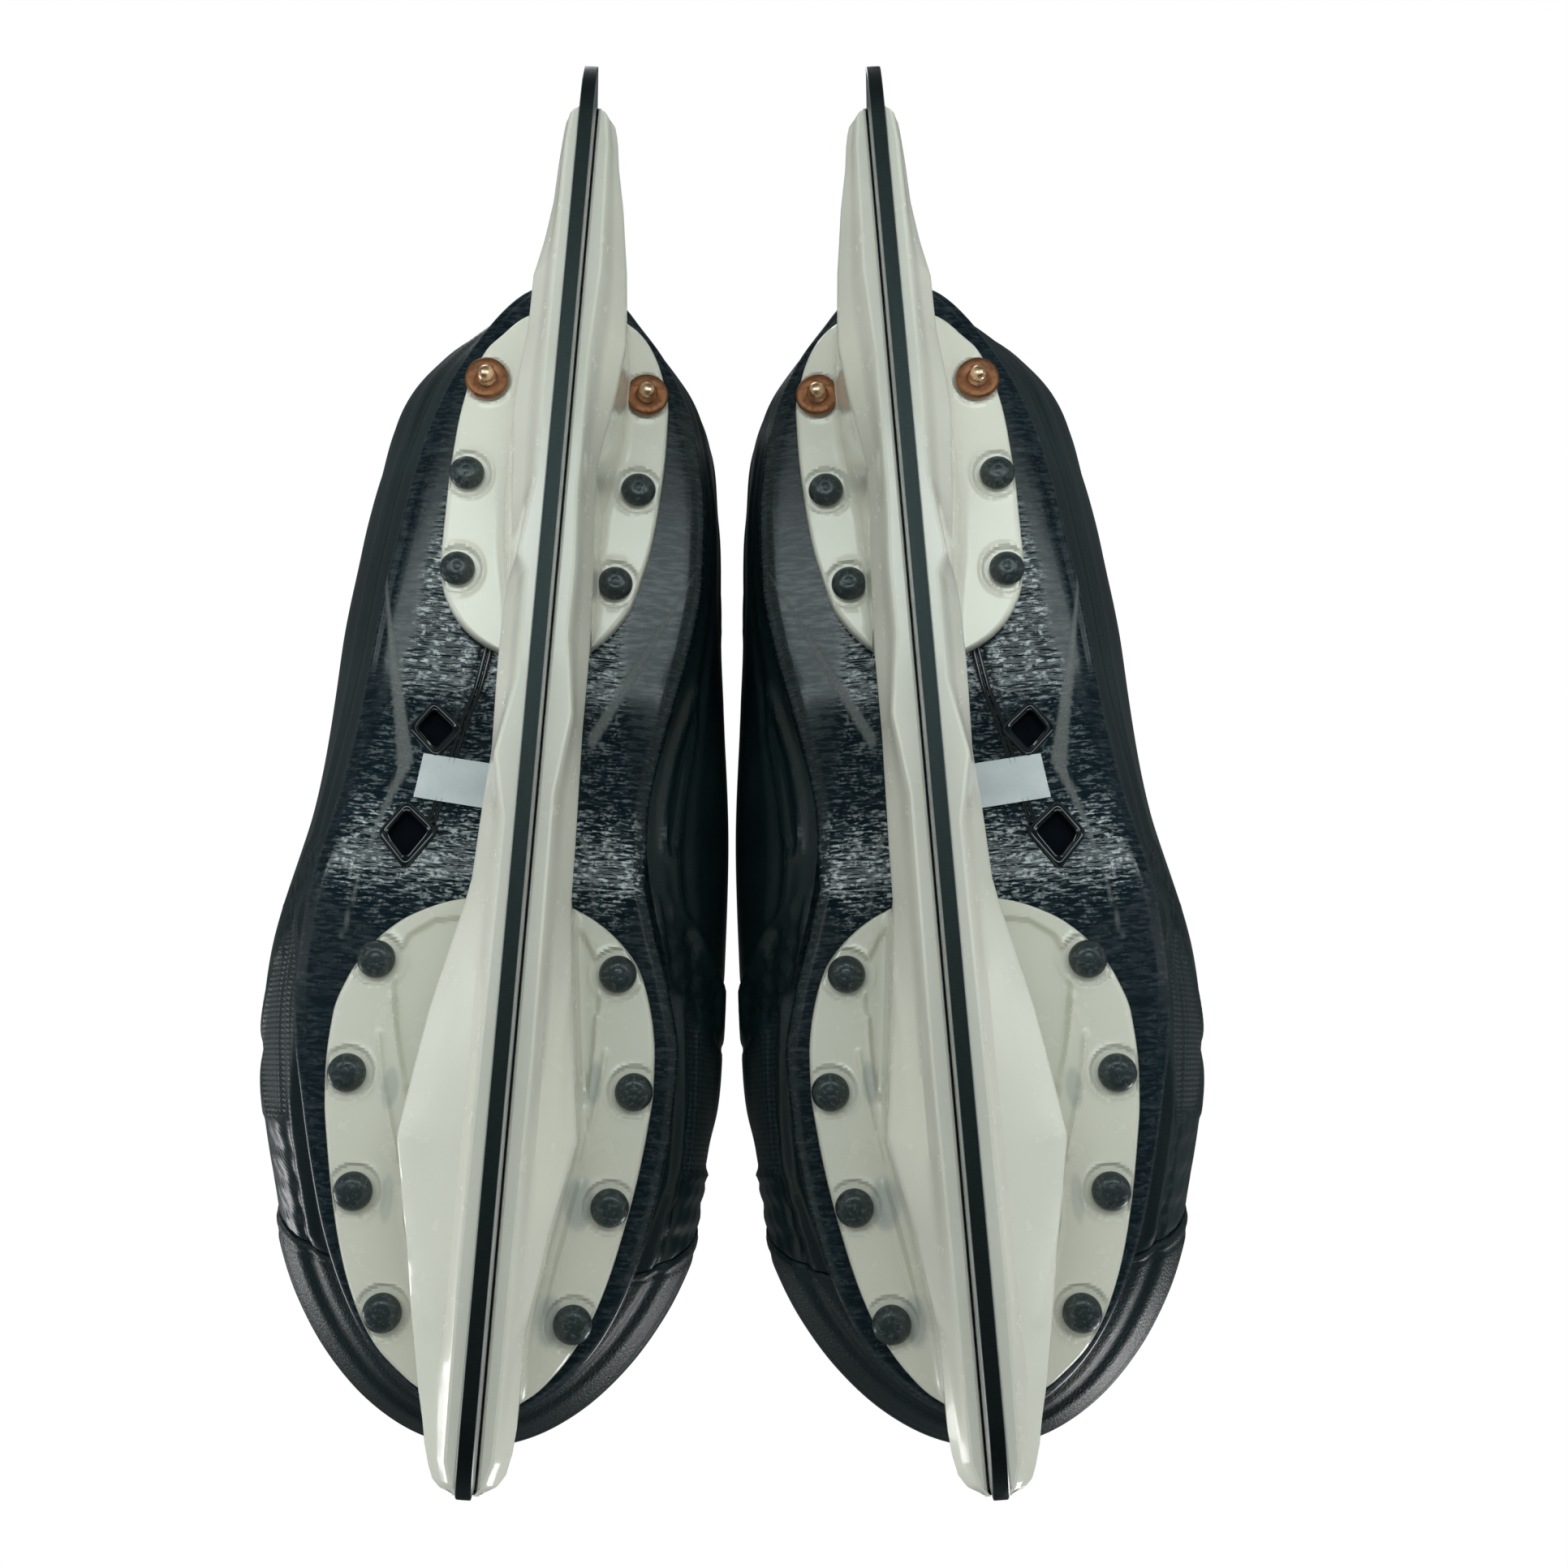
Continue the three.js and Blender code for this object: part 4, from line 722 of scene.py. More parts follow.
def holder_mesh():
    T = holder_rows()
    halves = []
    for s, (K, RL, RT, FH, FF) in ((1, (KO, RAIL_O, ROOT_O, FL_HEEL_O, FL_FORE_O)), (-1, (KI, RAIL_I, ROOT_I, FL_HEEL_I, FL_FORE_I))):
        a, w, zs, zt = tab(K, T), tab(RL, T), spline(KZ, T), tab(KT, T)
        heel, fore = (T >= 28.5) & (T <= 113.05), (T >= 166.3) & (T <= 267.65)
        fl = heel | fore
        F = np.where(heel, spline(FH, T), np.where(fore, spline(FF, T), a * 0.74))
        r = np.where(fl, tab(RT, T), a * 0.80)
        zf = np.where(heel, HEEL_SEAT - FLANGE, np.where(fore, FORE_SEAT - FLANGE, zt - 3.0))
        top = np.where(heel, HEEL_SEAT, np.where(fore, FORE_SEAT, zt))
        r = np.where(fl, np.minimum(r, np.maximum(F, a * 0.9)), r)
        F = np.maximum(F, r + 0.02)
        fil = np.minimum(2.4, (F - r) * 0.5)
        w = np.minimum(w, a - 0.4)
        pts = []
        add = lambda x, z: pts.append(np.stack([s * x, T, z], -1))
        one = np.ones_like(T)
        add(1.75 * one, 25.35 * one)
        add(1.75 * one, 20 * one)
        add(1.75 * one, 15.9 * one)
        add(1.95 * one, 15.25 * one)
        add(2.4 * one, EXPOSED * one)
        for f in (0.33, 0.66, 1.0):
            add(2.4 + (w - 0.9 - 2.4) * f, EXPOSED * one)
        add(w - 0.35, 15.25 * one)
        add(w, 15.9 * one)
        z0 = 15.9
        kite = smooth01(150, 172, T) * (1 - smooth01(248, 266, T))
        rb = np.minimum(w + (a - w) * 0.4, a - 0.3) * (1 - kite) + np.minimum(7.0, a - 0.3) * kite
        zb = (z0 + (zs - z0) * 0.5) * (1 - kite) + 20.6 * kite
        for f in (0.34, 0.67, 1.0):  # rail side up to the ridge line
            add(w + (rb - w) * f, z0 + (zb - z0) * f)
        for f in np.linspace(0.16, 0.97, 7):  # big facet out to the shoulder
            add(rb + (a - rb) * f, zb + (zs - zb) * f)
        add(a, zs + 0.3)
        # tower wall up to the flange root
        zr = zf - np.where(fl, 2.6, 1.5)
        for f in np.linspace(0.12, 1, 8):
            add(a + (r - a) * (f ** 1.6), (zs + 0.3) + (zr - zs - 0.3) * f)
        for f in np.linspace(0.2, 1, 5):
            ang = f * math.pi / 2
            add(r + fil * (1 - math.cos(ang)), zr + (zf - zr) * math.sin(ang))
        n_fl = 50
        for f in np.linspace(1 / n_fl, 1, n_fl):
            add(r + fil + (np.maximum(F - 1.3, r + fil) - r - fil) * f, zf)
        e = np.minimum(1.0, (F - r) / 2.0)
        add(F - 0.75 * e, zf + 0.18)
        add(F - 0.3 * e, zf + 0.6)
        add(F - 0.05 * e, zf + 1.3)
        add(F, zf + np.where(fl, 2.4, 1.6))
        add(F, top - 0.35)
        add(F - 0.3 * e, top)
        for f in (0.7, 0.35):
            add(F * f, top)
        halves.append(np.stack(pts, 1))
    A, B = halves
    for H in halves:  # seats, ribs and pockets
        x, t, z = H[..., 0].copy(), H[..., 1], H[..., 2].copy()
        k = np.arange(H.shape[1])[None, :]
        face = (k >= 21 + 8 + 2) & (k <= 21 + 8 + 5 + 50) & (((t > 28.5) & (t < 113.1)) | ((t > 166.3) & (t < 267.6)))
        dz = np.zeros_like(z)
        for p in POCKETS[:2]:
            d = in_poly(x, t, p)
            dz = np.maximum(dz, 1.1 * smooth01(-0.5, 0.9, d))
        for line, wdt, hgt in RIBS:
            d, s = seg_dist(x, t, line)
            dz -= hgt * np.exp(-(d / wdt) ** 2) * smooth01(0, 0.08, s) * (1 - smooth01(0.92, 1, s))
        # rivet seats: a flat recess round each rivet, with a ledge on its inboard side
        for (px, pt) in HEEL_RIVETS + FORE_RIVETS + COPPER:
            d = np.hypot(x - px, t - pt)
            rr = 5.25
            seat = 1 - smooth01(rr - 0.3, rr + 0.45, d)
            dz = dz * (1 - seat) + 0.75 * seat
            lip = np.exp(-((d - rr - 0.55) / 0.5) ** 2)
            side = 0.5 + 0.5 * np.sign(px) * (px - x) / np.maximum(d, 0.5)
            dz -= 0.38 * lip * np.clip(side, 0, 1) ** 1.5
        H[..., 2] += np.where(face, dz, 0)
        facet = (k >= 10) & (k <= 21)
        for line, wdt, hgt in CREASES:
            d, s = seg_dist(x, t, line)
            H[..., 2] -= np.where(facet, hgt * np.exp(-(d / wdt) ** 2) * smooth01(0, 0.1, s) * (1 - smooth01(0.9, 1, s)), 0)
    ring = np.concatenate([A, B[:, ::-1]], 1)
    x, t, z = ring[..., 0], ring[..., 1], ring[..., 2]
    # painted shade: grey ovals on the fore flange, read by the holder's colour
    painted_shade_patch = np.zeros_like(x)
    for cx, ct, rx, rt, k in ((23.8, 207.3, 1.7, 4.2, 0.8), (-17.2, 203.7, 1.5, 4.6, 0.9), (-16.0, 227.8, 3.0, 5.4, 1.0), (-11.9, 250.7, 2.4, 5.2, 1.0), (22.3, 229.0, 1.3, 5.0, 0.6)):
        q = ((x - cx) / rx) ** 2 + ((t - ct) / rt) ** 2
        painted_shade_patch = np.maximum(painted_shade_patch, k * (1 - smooth01(0.5, 1.3, q)) * (z < 49) * (z > 41))
    return ring, painted_shade_patch


HOLDER, HOLDER_PAINTED_SHADE = holder_mesh()


def build_holder(side, sx):
    V = HOLDER.reshape(-1, 3)
    m, n = HOLDER.shape[:2]
    F = []
    i, k = np.meshgrid(np.arange(m - 1), np.arange(n), indexing="ij")
    k1 = (k + 1) % n
    F = np.stack([i * n + k, i * n + k1, (i + 1) * n + k1, (i + 1) * n + k], -1).reshape(-1, 4).tolist()
    F.append(list(range(n))[::-1])
    F.append(list(range((m - 1) * n, m * n)))
    ob = new_object(f"{side}_holder_body", V, F, sx, M_HOLDER, f"{side}_skate", node=f"{side}_holder", slot="holder_plastic", attrs={"painted_shade_patch": HOLDER_PAINTED_SHADE}, sharp=24)
    return ob


# ------------------------------------------------------------------- runner
def runner_edge(t):
    R = 2750.0
    z = np.where(t < 75, (75 - t) ** 2 / (2 * R), np.where(t > 195, (t - 195) ** 2 / (2 * R), 0.0))
    tip = np.where(t < 14, (14 - t) / 14, np.where(t > RUNNER_L - 14, (t - (RUNNER_L - 14)) / 14, 0.0))
    return z + 7.8 * (1 - np.sqrt(1 - np.minimum(1, tip) ** 2))


def build_runner(side, sx):
    L = RUNNER_L
    e = np.concatenate([[0, 0.15, 0.5, 1.0, 1.8, 3, 4.5, 6.5, 9, 12, 15, 20], np.linspace(28, L - 28, 60), L - np.array([20, 15, 12, 9, 6.5, 4.5, 3, 1.8, 1.0, 0.5, 0.15, 0])])
    h, tl, cl = RUNNER_W / 2, math.tan(LEAN), math.cos(LEAN)
    rows = []
    for t in e:
        z = float(runner_edge(t)) / cl
        q = min(t, L - t)
        top = RUNNER_TOP - 5.4 * (1 - math.sqrt(1 - max(0, (8 - q) / 8) ** 2))
        b, hw = 0.18, h - (0.5 * max(0, (0.8 - q)) / 0.8) * 0.5
        rows.append([(hw, t, top - b), (hw, t, z + 6), (hw, t, z + hw * tl + b), (hw - b, t, z + hw * tl), (0, t, z - 0.04), (-hw + b, t, z - hw * tl),
                     (-hw, t, z - hw * tl + b), (-hw, t, z + 6), (-hw, t, top - b), (-hw + b, t, top), (hw - b, t, top)])
    # faces of the running edge; the material paints them dark (painted reflection) and makes them rougher
    lower = np.tile([0, 0, 0, 1, 1, 1, 0, 0, 0, 0, 0], len(rows)).astype(float)
    ob = loft_body(f"{side}_runner_blade", rows, sx, M_STEEL, f"{side}_skate", node=f"{side}_runner", slot="runner_steel",
                   attrs={"edge": np.concatenate([lower, [1, 1]])}, sharp=30)
    lugs = []
    for t0, t1 in ((62, 78), (206, 222)):
        c, q = (t0 + t1) / 2, (t1 - t0) / 2
        lugs.append([[(xx, c + q * sc * st, z) for xx, st in ((h, -1), (h, 1), (-h, 1), (-h, -1))] for z, sc in ((22, 1.0), (33, 1.0), (35.2, 0.96), (36, 0.88))])
    V, F = [], []
    for rows_ in lugs:
        o = len(V)
        V += [p for r in rows_ for p in r]
        for s in range(3):
            for k in range(4):
                F.append([o + s * 4 + k, o + s * 4 + (k + 1) % 4, o + s * 4 + 4 + (k + 1) % 4, o + s * 4 + 4 + k])
        F += [[o + 3, o + 2, o + 1, o], [o + 12, o + 13, o + 14, o + 15]]
    new_object(f"{side}_runner_lugs", V, F, sx, M_STEEL, f"{side}_skate", slot="runner_steel", sharp=30)
    return ob


# ------------------------------------------------------------------ outsole
def sole_section(t, n=26):
    """Cross-section of the outsole as points from the outer rim to the inner rim, lower face."""
    a, b = float(spline(SOLE, t, 1)), float(spline(SOLE, t, 2))
    z = float(sole_z(t))
    heel = 1 - smooth01(100, 175, t)
    roll_o = 7.5 * heel + 3.2 * (1 - heel)
    roll_i = 6.0 * heel + 3.0 * (1 - heel)
    lim = (a - b) / 2.3
    roll_o, roll_i = min(roll_o, lim), min(roll_i, lim)
    f = np.linspace(0, 1, 8)
    out = [(a - roll_o * (1 - math.sin(q * math.pi / 2)), t, z + 3.0 * (1 - math.cos(q * math.pi / 2))) for q in f[::-1]]
    mid = [(x, t, z) for x in np.linspace(a - roll_o, b + roll_i, n - 14)[1:-1]]
    inn = [(b + roll_i * (1 - math.sin(q * math.pi / 2)), t, z + 3.0 * (1 - math.cos(q * math.pi / 2))) for q in f]
    return out + mid + inn


VENTS = [[(24.5, 122.6), (17.0, 128.9), (22.4, 136.9), (29.7, 129.9)], [(27.4, 146.5), (19.6, 153.2), (25.7, 162.6), (32.7, 154.8)]]
GROOVE = [(13.7, 109.0), (15.2, 118.5), (17.3, 127.0), (18.6, 134.5), (20.0, 143.0), (21.6, 151.7)]


VENT_IN = [[(24.3, 125.0), (19.3, 129.3), (22.8, 134.4), (27.2, 129.8)], [(27.1, 149.2), (22.0, 153.5), (26.1, 159.8), (30.4, 154.7)]]
LABEL = [(25.2, 135.7), (9.0, 137.0), (9.8, 147.5), (26.0, 146.1)]
STRIPES = [[(39.6, 82.7), (37.6, 97.7), (32.2, 119.6), (27.2, 137.5), (31.4, 149.5), (34.5, 161.3), (37.1, 177.2), (37.5, 177.3), (33.2, 153.2), (30.2, 139.5), (34.6, 118), (38, 97.7)],
           [(-31.0, 87.8), (-19.3, 113.7), (-11.6, 130.5), (-10.2, 130.9), (-9.9, 128.4), (-16.0, 115.8), (-28.0, 93.8)],
           [(-9.6, 152.0), (-11.6, 153.5), (-14.7, 169.6), (-12.6, 158.0)]]
WEAVE = [(24, 60), (30.2, 91), (31.3, 107), (36.5, 130), (40, 150), (42.7, 167), (30, 176), (-20, 176), (-25.5, 162), (-24.4, 154), (-19, 132), (-16.1, 104), (-19.4, 87), (-20, 60)]


def build_outsole(side, sx):
    T = np.concatenate([np.linspace(20, 30, 14), np.linspace(31, 78, 48), np.arange(78.6, 112, 0.7), np.arange(112.4, 178, 0.55), np.linspace(178.8, 255, 70), np.linspace(256, 270.5, 18)])
    rows, weave, stripe, zone = [], [], [], []
    n = 132
    for t in T:
        base = np.array(sole_section(t))
        s = np.concatenate([[0], np.cumsum(np.linalg.norm(np.diff(base, axis=0), axis=1))])
        rim = np.minimum(np.linspace(0, 6.0, 21), s[-1] * np.linspace(0, 0.28, 21))
        q = np.concatenate([rim, np.linspace(rim[-1], s[-1] - rim[-1], n - 40)[1:-1], s[-1] - rim[::-1]])
        low = np.stack([np.interp(q, s, base[:, k]) for k in range(3)], -1)
        a, b, z = low[0, 0], low[-1, 0], float(sole_z(t))
        top = np.array([(b + 0.1, t, z + 4.4), (b + 0.8, t, z + 5), (b + 4, t, z + 5), ((a + b) / 2, t, z + 5), (a - 4, t, z + 5), (a - 0.8, t, z + 5), (a - 0.1, t, z + 4.4)])
        x, tt = low[:, 0], low[:, 1]
        dz = np.zeros(n)
        for v in VENT_IN:
            dz += 1.6 * smooth01(-0.9, -0.3, in_poly(x, tt, v))
        d, w = seg_dist(x, tt, GROOVE)
        dz += 0.5 * np.exp(-((d - 1.5) / 0.6) ** 2) * smooth01(0, 0.03, w) * (dz < 0.1)
        # two long creases along the rolled side, and the raised rim
        e = np.minimum(q, s[-1] - q)
        dz -= 0.3 * np.exp(-((e - 1.2) / 0.8) ** 2)
        dz += 0.14 * np.exp(-((e - 3.3) / 0.9) ** 2)
        low[:, 2] += dz
        rows.append(np.concatenate([low, top]))
        weave.append(np.concatenate([smooth01(-1.5, 2.0, in_poly(x, tt, WEAVE)), np.zeros(7)]))
        # painted highlight mask: the two bands of the sole (t 70 to 126 and 144 to 172) where the sole_band lamp
        # shows, plus a faint share from t 40 on; the material paints bright glints there
        zf = np.maximum(smooth01(70, 88, tt) * (1 - smooth01(112, 126, tt)), 0.9 * smooth01(144, 151, tt) * (1 - smooth01(162, 172, tt)))
        zf = zf + 0.22 * smooth01(40, 80, tt) * (1 - zf)
        zone.append(np.concatenate([smooth01(-1.0, 3.0, in_poly(x, tt, WEAVE)) * zf, np.zeros(7)]))
        st = np.max([smooth01(-0.35, 0.35, in_poly(x, tt, p)) for p in STRIPES], axis=0)
        stripe.append(np.concatenate([st, np.zeros(7)]))
    pad = lambda m: np.concatenate([np.array(m).ravel(), [0, 0]])
    ob = loft_body(f"{side}_outsole_plate", rows, sx, M_SOLE, f"{side}_skate", node=f"{side}_outsole", slot="sole_composite",
                   attrs={"weave": pad(weave), "stripe": pad(stripe), "zone": pad(zone)}, sharp=50)
    # raised rims round the two vents, their dark floors (painted shade: near-black, almost unreflecting plates
    # standing for the dark, shaded inside of each vent), the cord and the blank label
    rims, floors = [], []
    for v_out, v_in in zip(VENTS, VENT_IN):
        paths = []
        for poly, r in ((v_out, 0.16), (v_in, 0.2)):
            P = np.array(poly, float)
            m = len(P)
            pts = []
            for i in range(m):
                p0, p1, p2 = P[i - 1], P[i], P[(i + 1) % m]
                a, b = p1 + (p0 - p1) * r, p1 + (p2 - p1) * r
                for f in np.linspace(0, 1, 7):
                    pts.append((1 - f) ** 2 * a + 2 * f * (1 - f) * p1 + f * f * b)
                nxt = p2 + (p1 - p2) * r
                for f in np.linspace(0, 1, 11)[1:-1]:
                    pts.append(b + (nxt - b) * f)
            paths.append(np.array(pts))
        o, i = paths
        prof = [(-0.05, 0.35), (0.0, -0.15), (0.12, -0.55), (0.34, -0.8), (0.6, -0.72), (0.75, -0.45), (0.92, -0.55), (1.0, -0.3), (1.03, 0.6), (1.04, 1.5), (0.6, 1.5), (0.2, 1.2)]
        V, F = [], []
        for f, dz in prof:
            q = o + (i - o) * f
            z = sole_z(q[:, 1]) + dz
            V += [tuple(p) for p in np.column_stack([q, z])]
        m, npf = len(o), len(prof)
        for j in range(npf):
            for s in range(m):
                s1 = (s + 1) % m
                F.append([j * m + s, j * m + s1, ((j + 1) % npf) * m + s1, ((j + 1) % npf) * m + s])
        rims.append((V, F))
        # painted shade: a dark floor plate set inside each vent
        c = i.mean(0)
        V, F = [], []
        for f, dz in ((1.08, 1.25), (0.85, 1.2), (0.5, 1.0), (0.2, 0.95)):
            q = c + (i - c) * f
            V += [tuple(p) for p in np.column_stack([q, sole_z(q[:, 1]) + dz])]
        V.append((c[0], c[1], float(sole_z(c[1])) + 0.93))
        back = len(V)
        q = c + (i - c) * 1.08
        V += [tuple(p) for p in np.column_stack([q, sole_z(q[:, 1]) + 1.9])]
        V.append((c[0], c[1], float(sole_z(c[1])) + 1.9))
        for j in range(3):
            for s in range(m):
                s1 = (s + 1) % m
                F.append([j * m + s, j * m + s1, (j + 1) * m + s1, (j + 1) * m + s])
        for s in range(m):
            s1 = (s + 1) % m
            F.append([3 * m + s, 3 * m + s1, 4 * m])
            F.append([s, back + s, back + s1, s1])
            F.append([back + s, back + m, back + s1])
        floors.append((V, F))
    V, F = merge(rims)
    new_object(f"{side}_vent_rims", V, F, sx, M_RIM, f"{side}_skate", slot="sole_composite")
    V, F = merge(floors)
    new_object(f"{side}_vent_floors", V, F, sx, M_VENT_SHADE, f"{side}_skate", slot="sole_composite")
    g = catmull(np.array(GROOVE), np.linspace(0, len(GROOVE) - 1, 70), 0)
    cords = []
    for off in (-0.55, 0.55):
        pts = np.column_stack([g[:, 0] + off, g[:, 1], sole_z(g[:, 1]) - 0.02])
        cords.append(tube(pts, 0.5, 8))
    V, F = merge(cords)
    new_object(f"{side}_sole_groove_bead", V, F, sx, M_RIM, f"{side}_skate", slot="sole_composite")
    Q = np.array(LABEL, float)
    uu, vv = np.linspace(0, 1, 25), np.linspace(0, 1, 19)
    U2, V2 = np.meshgrid(uu, vv, indexing="ij")
    xy = (Q[0] * ((1 - U2) * (1 - V2))[..., None] + Q[1] * (U2 * (1 - V2))[..., None] + Q[2] * (U2 * V2)[..., None] + Q[3] * ((1 - U2) * V2)[..., None])
    curl = 0.5 * smooth01(0.82, 1.0, 1 - U2) * smooth01(0.75, 1.0, V2) + 0.12 * np.sin(U2 * 5.3) * np.sin(V2 * 3.1)
    z = sole_z(xy[..., 1]) - 0.52 - curl * 0.6
    lo = np.concatenate([xy, z[..., None]], -1)
    hi = np.concatenate([xy, (z + 0.12)[..., None]], -1)
    sheet_body(f"{side}_blank_label", lo, hi, sx, M_LABEL, f"{side}_skate", slot="sole_composite", sharp=40)
    return ob


# -------------------------------------------------------------- the boots
CUBE = catmull(catmull(UPPER, np.linspace(0, 5, 11), axis=1), np.linspace(0, 16, 33), axis=0)
OUT = float(np.sign(grid_normals(CUBE)[4, 4, 0])) or 1.0


def surf(u, v):
    """Points and outward normals of the boot's surface at stations u (0..16) and levels v (0..5)."""
    P = catmull(catmull(UPPER, v, axis=1), u, axis=0)
    return P, grid_normals(P, OUT)


def bump_line(d, w, h):
    return h * np.exp(-(d / w) ** 2)


Z_OUT = {"mesh": [(48.2, 170.4), (53.2, 182.2), (56, 200), (52.0, 213.5), (44.5, 215.1), (46.2, 197)],
         "bands": [(44.5, 215.6), (52.5, 214), (49, 227), (44, 238.5), (38.4, 237.3)],
         "slats": [(43.4, 160.5), (47.5, 156.5), (52.5, 169), (53, 180), (48.4, 170.4)]}
Z_IN = {"slats": [(-28.5, 163.7), (-32.1, 182.2), (-43.4, 189.2), (-43.2, 179.7), (-35.6, 169.5)],
        "mesh": [(-35, 186.5), (-44.2, 195.5), (-44.8, 220.5), (-37.4, 221)],
        "bands": [(-34, 223.2), (-44.4, 223.8), (-41.4, 241.8), (-30.5, 245.5)]}
LEAF = [(-33.1, 112.0), (-30.8, 121.0), (-28.6, 130.0), (-27.3, 142.0), (-27.8, 152.5), (-31.4, 155.0), (-32.6, 139.0), (-34.4, 122.0)]


def quarter_relief(P, V):
    """Outward height in mm and the masks used by the quarter's material."""
    x, t, z = P[..., 0], P[..., 1], P[..., 2]
    d = np.zeros_like(x)
    mesh = np.zeros_like(x)
    gloss = np.zeros_like(x)
    # roll beside the outsole, then a groove
    d += 0.55 * np.exp(-((V - 0.33) / 0.16) ** 2) - 0.45 * np.exp(-((V - 0.62) / 0.09) ** 2) + 0.35 * np.exp(-((V - 0.8) / 0.1) ** 2) * (1 - smooth01(150, 200, t))
    out, inn = x > 0, x <= 0
    for zone, side in ((Z_OUT, out), (Z_IN, inn)):
        low = (z < 95) & side
        s = in_poly(x, t, zone["mesh"])
        m = smooth01(-0.4, 0.6, s) * low
        d += -0.45 * m + 0.5 * np.exp(-((s + 0.7) / 0.6) ** 2) * low
        mesh = np.maximum(mesh, m)
        s = in_poly(x, t, zone["bands"])
        m = smooth01(-0.5, 1.2, s) * low
        ph = (t + 0.18 * np.abs(x) - 2.0) / 5.9
        rid = (0.5 + 0.5 * np.cos(2 * np.pi * ph)) ** 0.7
        fine = 0.5 + 0.5 * np.cos(2 * np.pi * ph * 4)
        d += m * (0.5 * rid - 0.3 + 0.16 * fine)
        s = in_poly(x, t, zone["slats"])
        m = smooth01(-0.3, 0.5, s) * low
        if zone is Z_IN:
            ph = (t * 0.93 + x * 0.36) / 2.15
        else:
            ph = (t * 0.9 - x * 0.43) / 2.4
        sq = np.clip(0.5 + 1.4 * np.cos(2 * np.pi * ph), 0, 1)
        d += m * (-0.75 + 0.75 * sq) + 0.55 * np.exp(-((s + 0.8) / 0.6) ** 2) * low
    s = in_poly(x, t, LEAF)
    low = (z < 88) & inn
    d += (0.8 * np.exp(-((s - 0.3) / 0.9) ** 2) - 0.35 * smooth01(0.6, 1.6, s)) * low
    gloss = np.maximum(gloss, smooth01(-0.6, 0.6, s) * low)
    # seams on the sides
    U = t
    for line, side in (([(-31, 152), (-33, 164), (-38, 172), (-44, 181), (-45.4, 192)], inn), ([(-33.4, 184), (-36, 204), (-36, 223), (-29, 247)], inn),
                       ([(45.2, 158), (47.6, 170), (48.6, 184), (46.2, 204), (43.4, 217), (38, 238)], out)):
        dd, _ = seg_dist(x, t, line)
        d += (bump_line(dd, 0.9, 0.6) - bump_line(dd - 1.9, 0.5, 0.25)) * side * (z < 96)
    # panel lines higher up the quarter
    zz = z - (96 + 0.24 * np.clip(178 - t, 0, 150))
    d += 0.4 * smooth01(-1.4, 0.2, zz) - 0.5 * np.exp(-((zz - 0.2) / 0.7) ** 2)
    ank = 150 - 0.33 * np.clip(t - 30, 0, 120)
    for k, w in ((0.0, 1.0), (7.0, 0.7)):
        zz = z - ank - k - 22 * smooth01(80, 140, t)
        d += 0.35 * w * np.exp(-(zz / 1.0) ** 2) * smooth01(3.2, 3.5, V + 0.6)
    # heel counter's two long folds
    hz = z - (80 + 0.10 * (t - 20))
    back = 1 - smooth01(88, 125, t)
    d += back * (0.55 * smooth01(-1.5, 1.5, hz - 6) - 0.35 * np.exp(-((hz - 5) / 1.3) ** 2))
    edge = np.clip((5 - V) / 0.09, 0, 1)
    d -= 0.35 * (1 - edge)
    full = np.clip(d, -1.0, 1.25)
    full += 2.8 * out * smooth01(0.3, 1.6, V) * (1 - smooth01(2.6, 3.6, V)) * (1 - smooth01(100, 150, t)) * smooth01(20, 34, t)
    return full, mesh, gloss


NU, NV = 20, 15
QU, QV = np.linspace(0, 16, 16 * NU + 1), np.linspace(0, 5, 5 * NV + 1)
QP, QN = surf(QU, QV)
QD, QMESH, QGLOSS = quarter_relief(QP, np.broadcast_to(QV[None, :], QP.shape[:2]))


def build_quarters(side, sx):
    mid = 8 * NU
    made = []
    for name, sl in (("outer", slice(0, mid + 1)), ("inner", slice(mid, None))):
        o, n = QP[sl] + QN[sl] * QD[sl][..., None], QN[sl]
        i = QP[sl] - QN[sl] * SHELL
        end, s = (-1, 1) if name == "outer" else (0, -1)
        o[end, :, 0] += s * 0.25; i[end, :, 0] += s * 0.25
        f = 0 if name == "outer" else -1
        o[f, :, 1] -= 0.3; i[f, :, 1] -= 0.3
        nuv = o.shape[0] * o.shape[1]
        attrs = {"mesh": np.concatenate([QMESH[sl].ravel(), np.zeros(nuv)]), "gloss": np.concatenate([QGLOSS[sl].ravel(), np.zeros(nuv)])}
        made.append(sheet_body(f"{side}_{name}_quarter_shell", o, i, sx, M_SHELL, f"{side}_skate", node=f"{side}_{name}_quarter", slot="quarter_composite", attrs=attrs))
    return made


def toe_grid(nu=10, nv=12):
    tip = [(3, 270.8, 0), (2.8, 276, 65), (2, 279, 74.5), (1.5, 271.5, 88), (1.5, 250, 97.5), (2, 216.5, 104.5)]
    pw = [1.9, 1.6, 1.4, 1.25, 1.1, 1]
    N = 12
    G = np.zeros((N + 1, 6, 3))
    for i in range(N + 1):
        phi = i / N * math.pi
        side = UPPER[0] if phi <= math.pi / 2 else UPPER[-1]
        c, s = abs(math.cos(phi)), math.sin(phi)
        for k, (tx, tt, tz) in enumerate(tip):
            j = side[k]
            zt = float(feather(tt)) if k == 0 else tz
            t = (j[1] + 0.3) + (tt - j[1] - 0.3) * max(s, 0) ** pw[k]
            x = tx + (j[0] - tx) * c
            G[i, k] = (x, t, float(feather(t)) if k == 0 else j[2] + (zt - j[2]) * max(s, 0) ** 1.4)
    P = catmull(catmull(G, np.linspace(0, 5, 5 * nv + 1), axis=1), np.linspace(0, N, N * nu + 1), axis=0)
    n = grid_normals(P)
    sg = np.sign(n[len(n) // 2, 2 * nv, 1]) or 1
    return P, n * sg


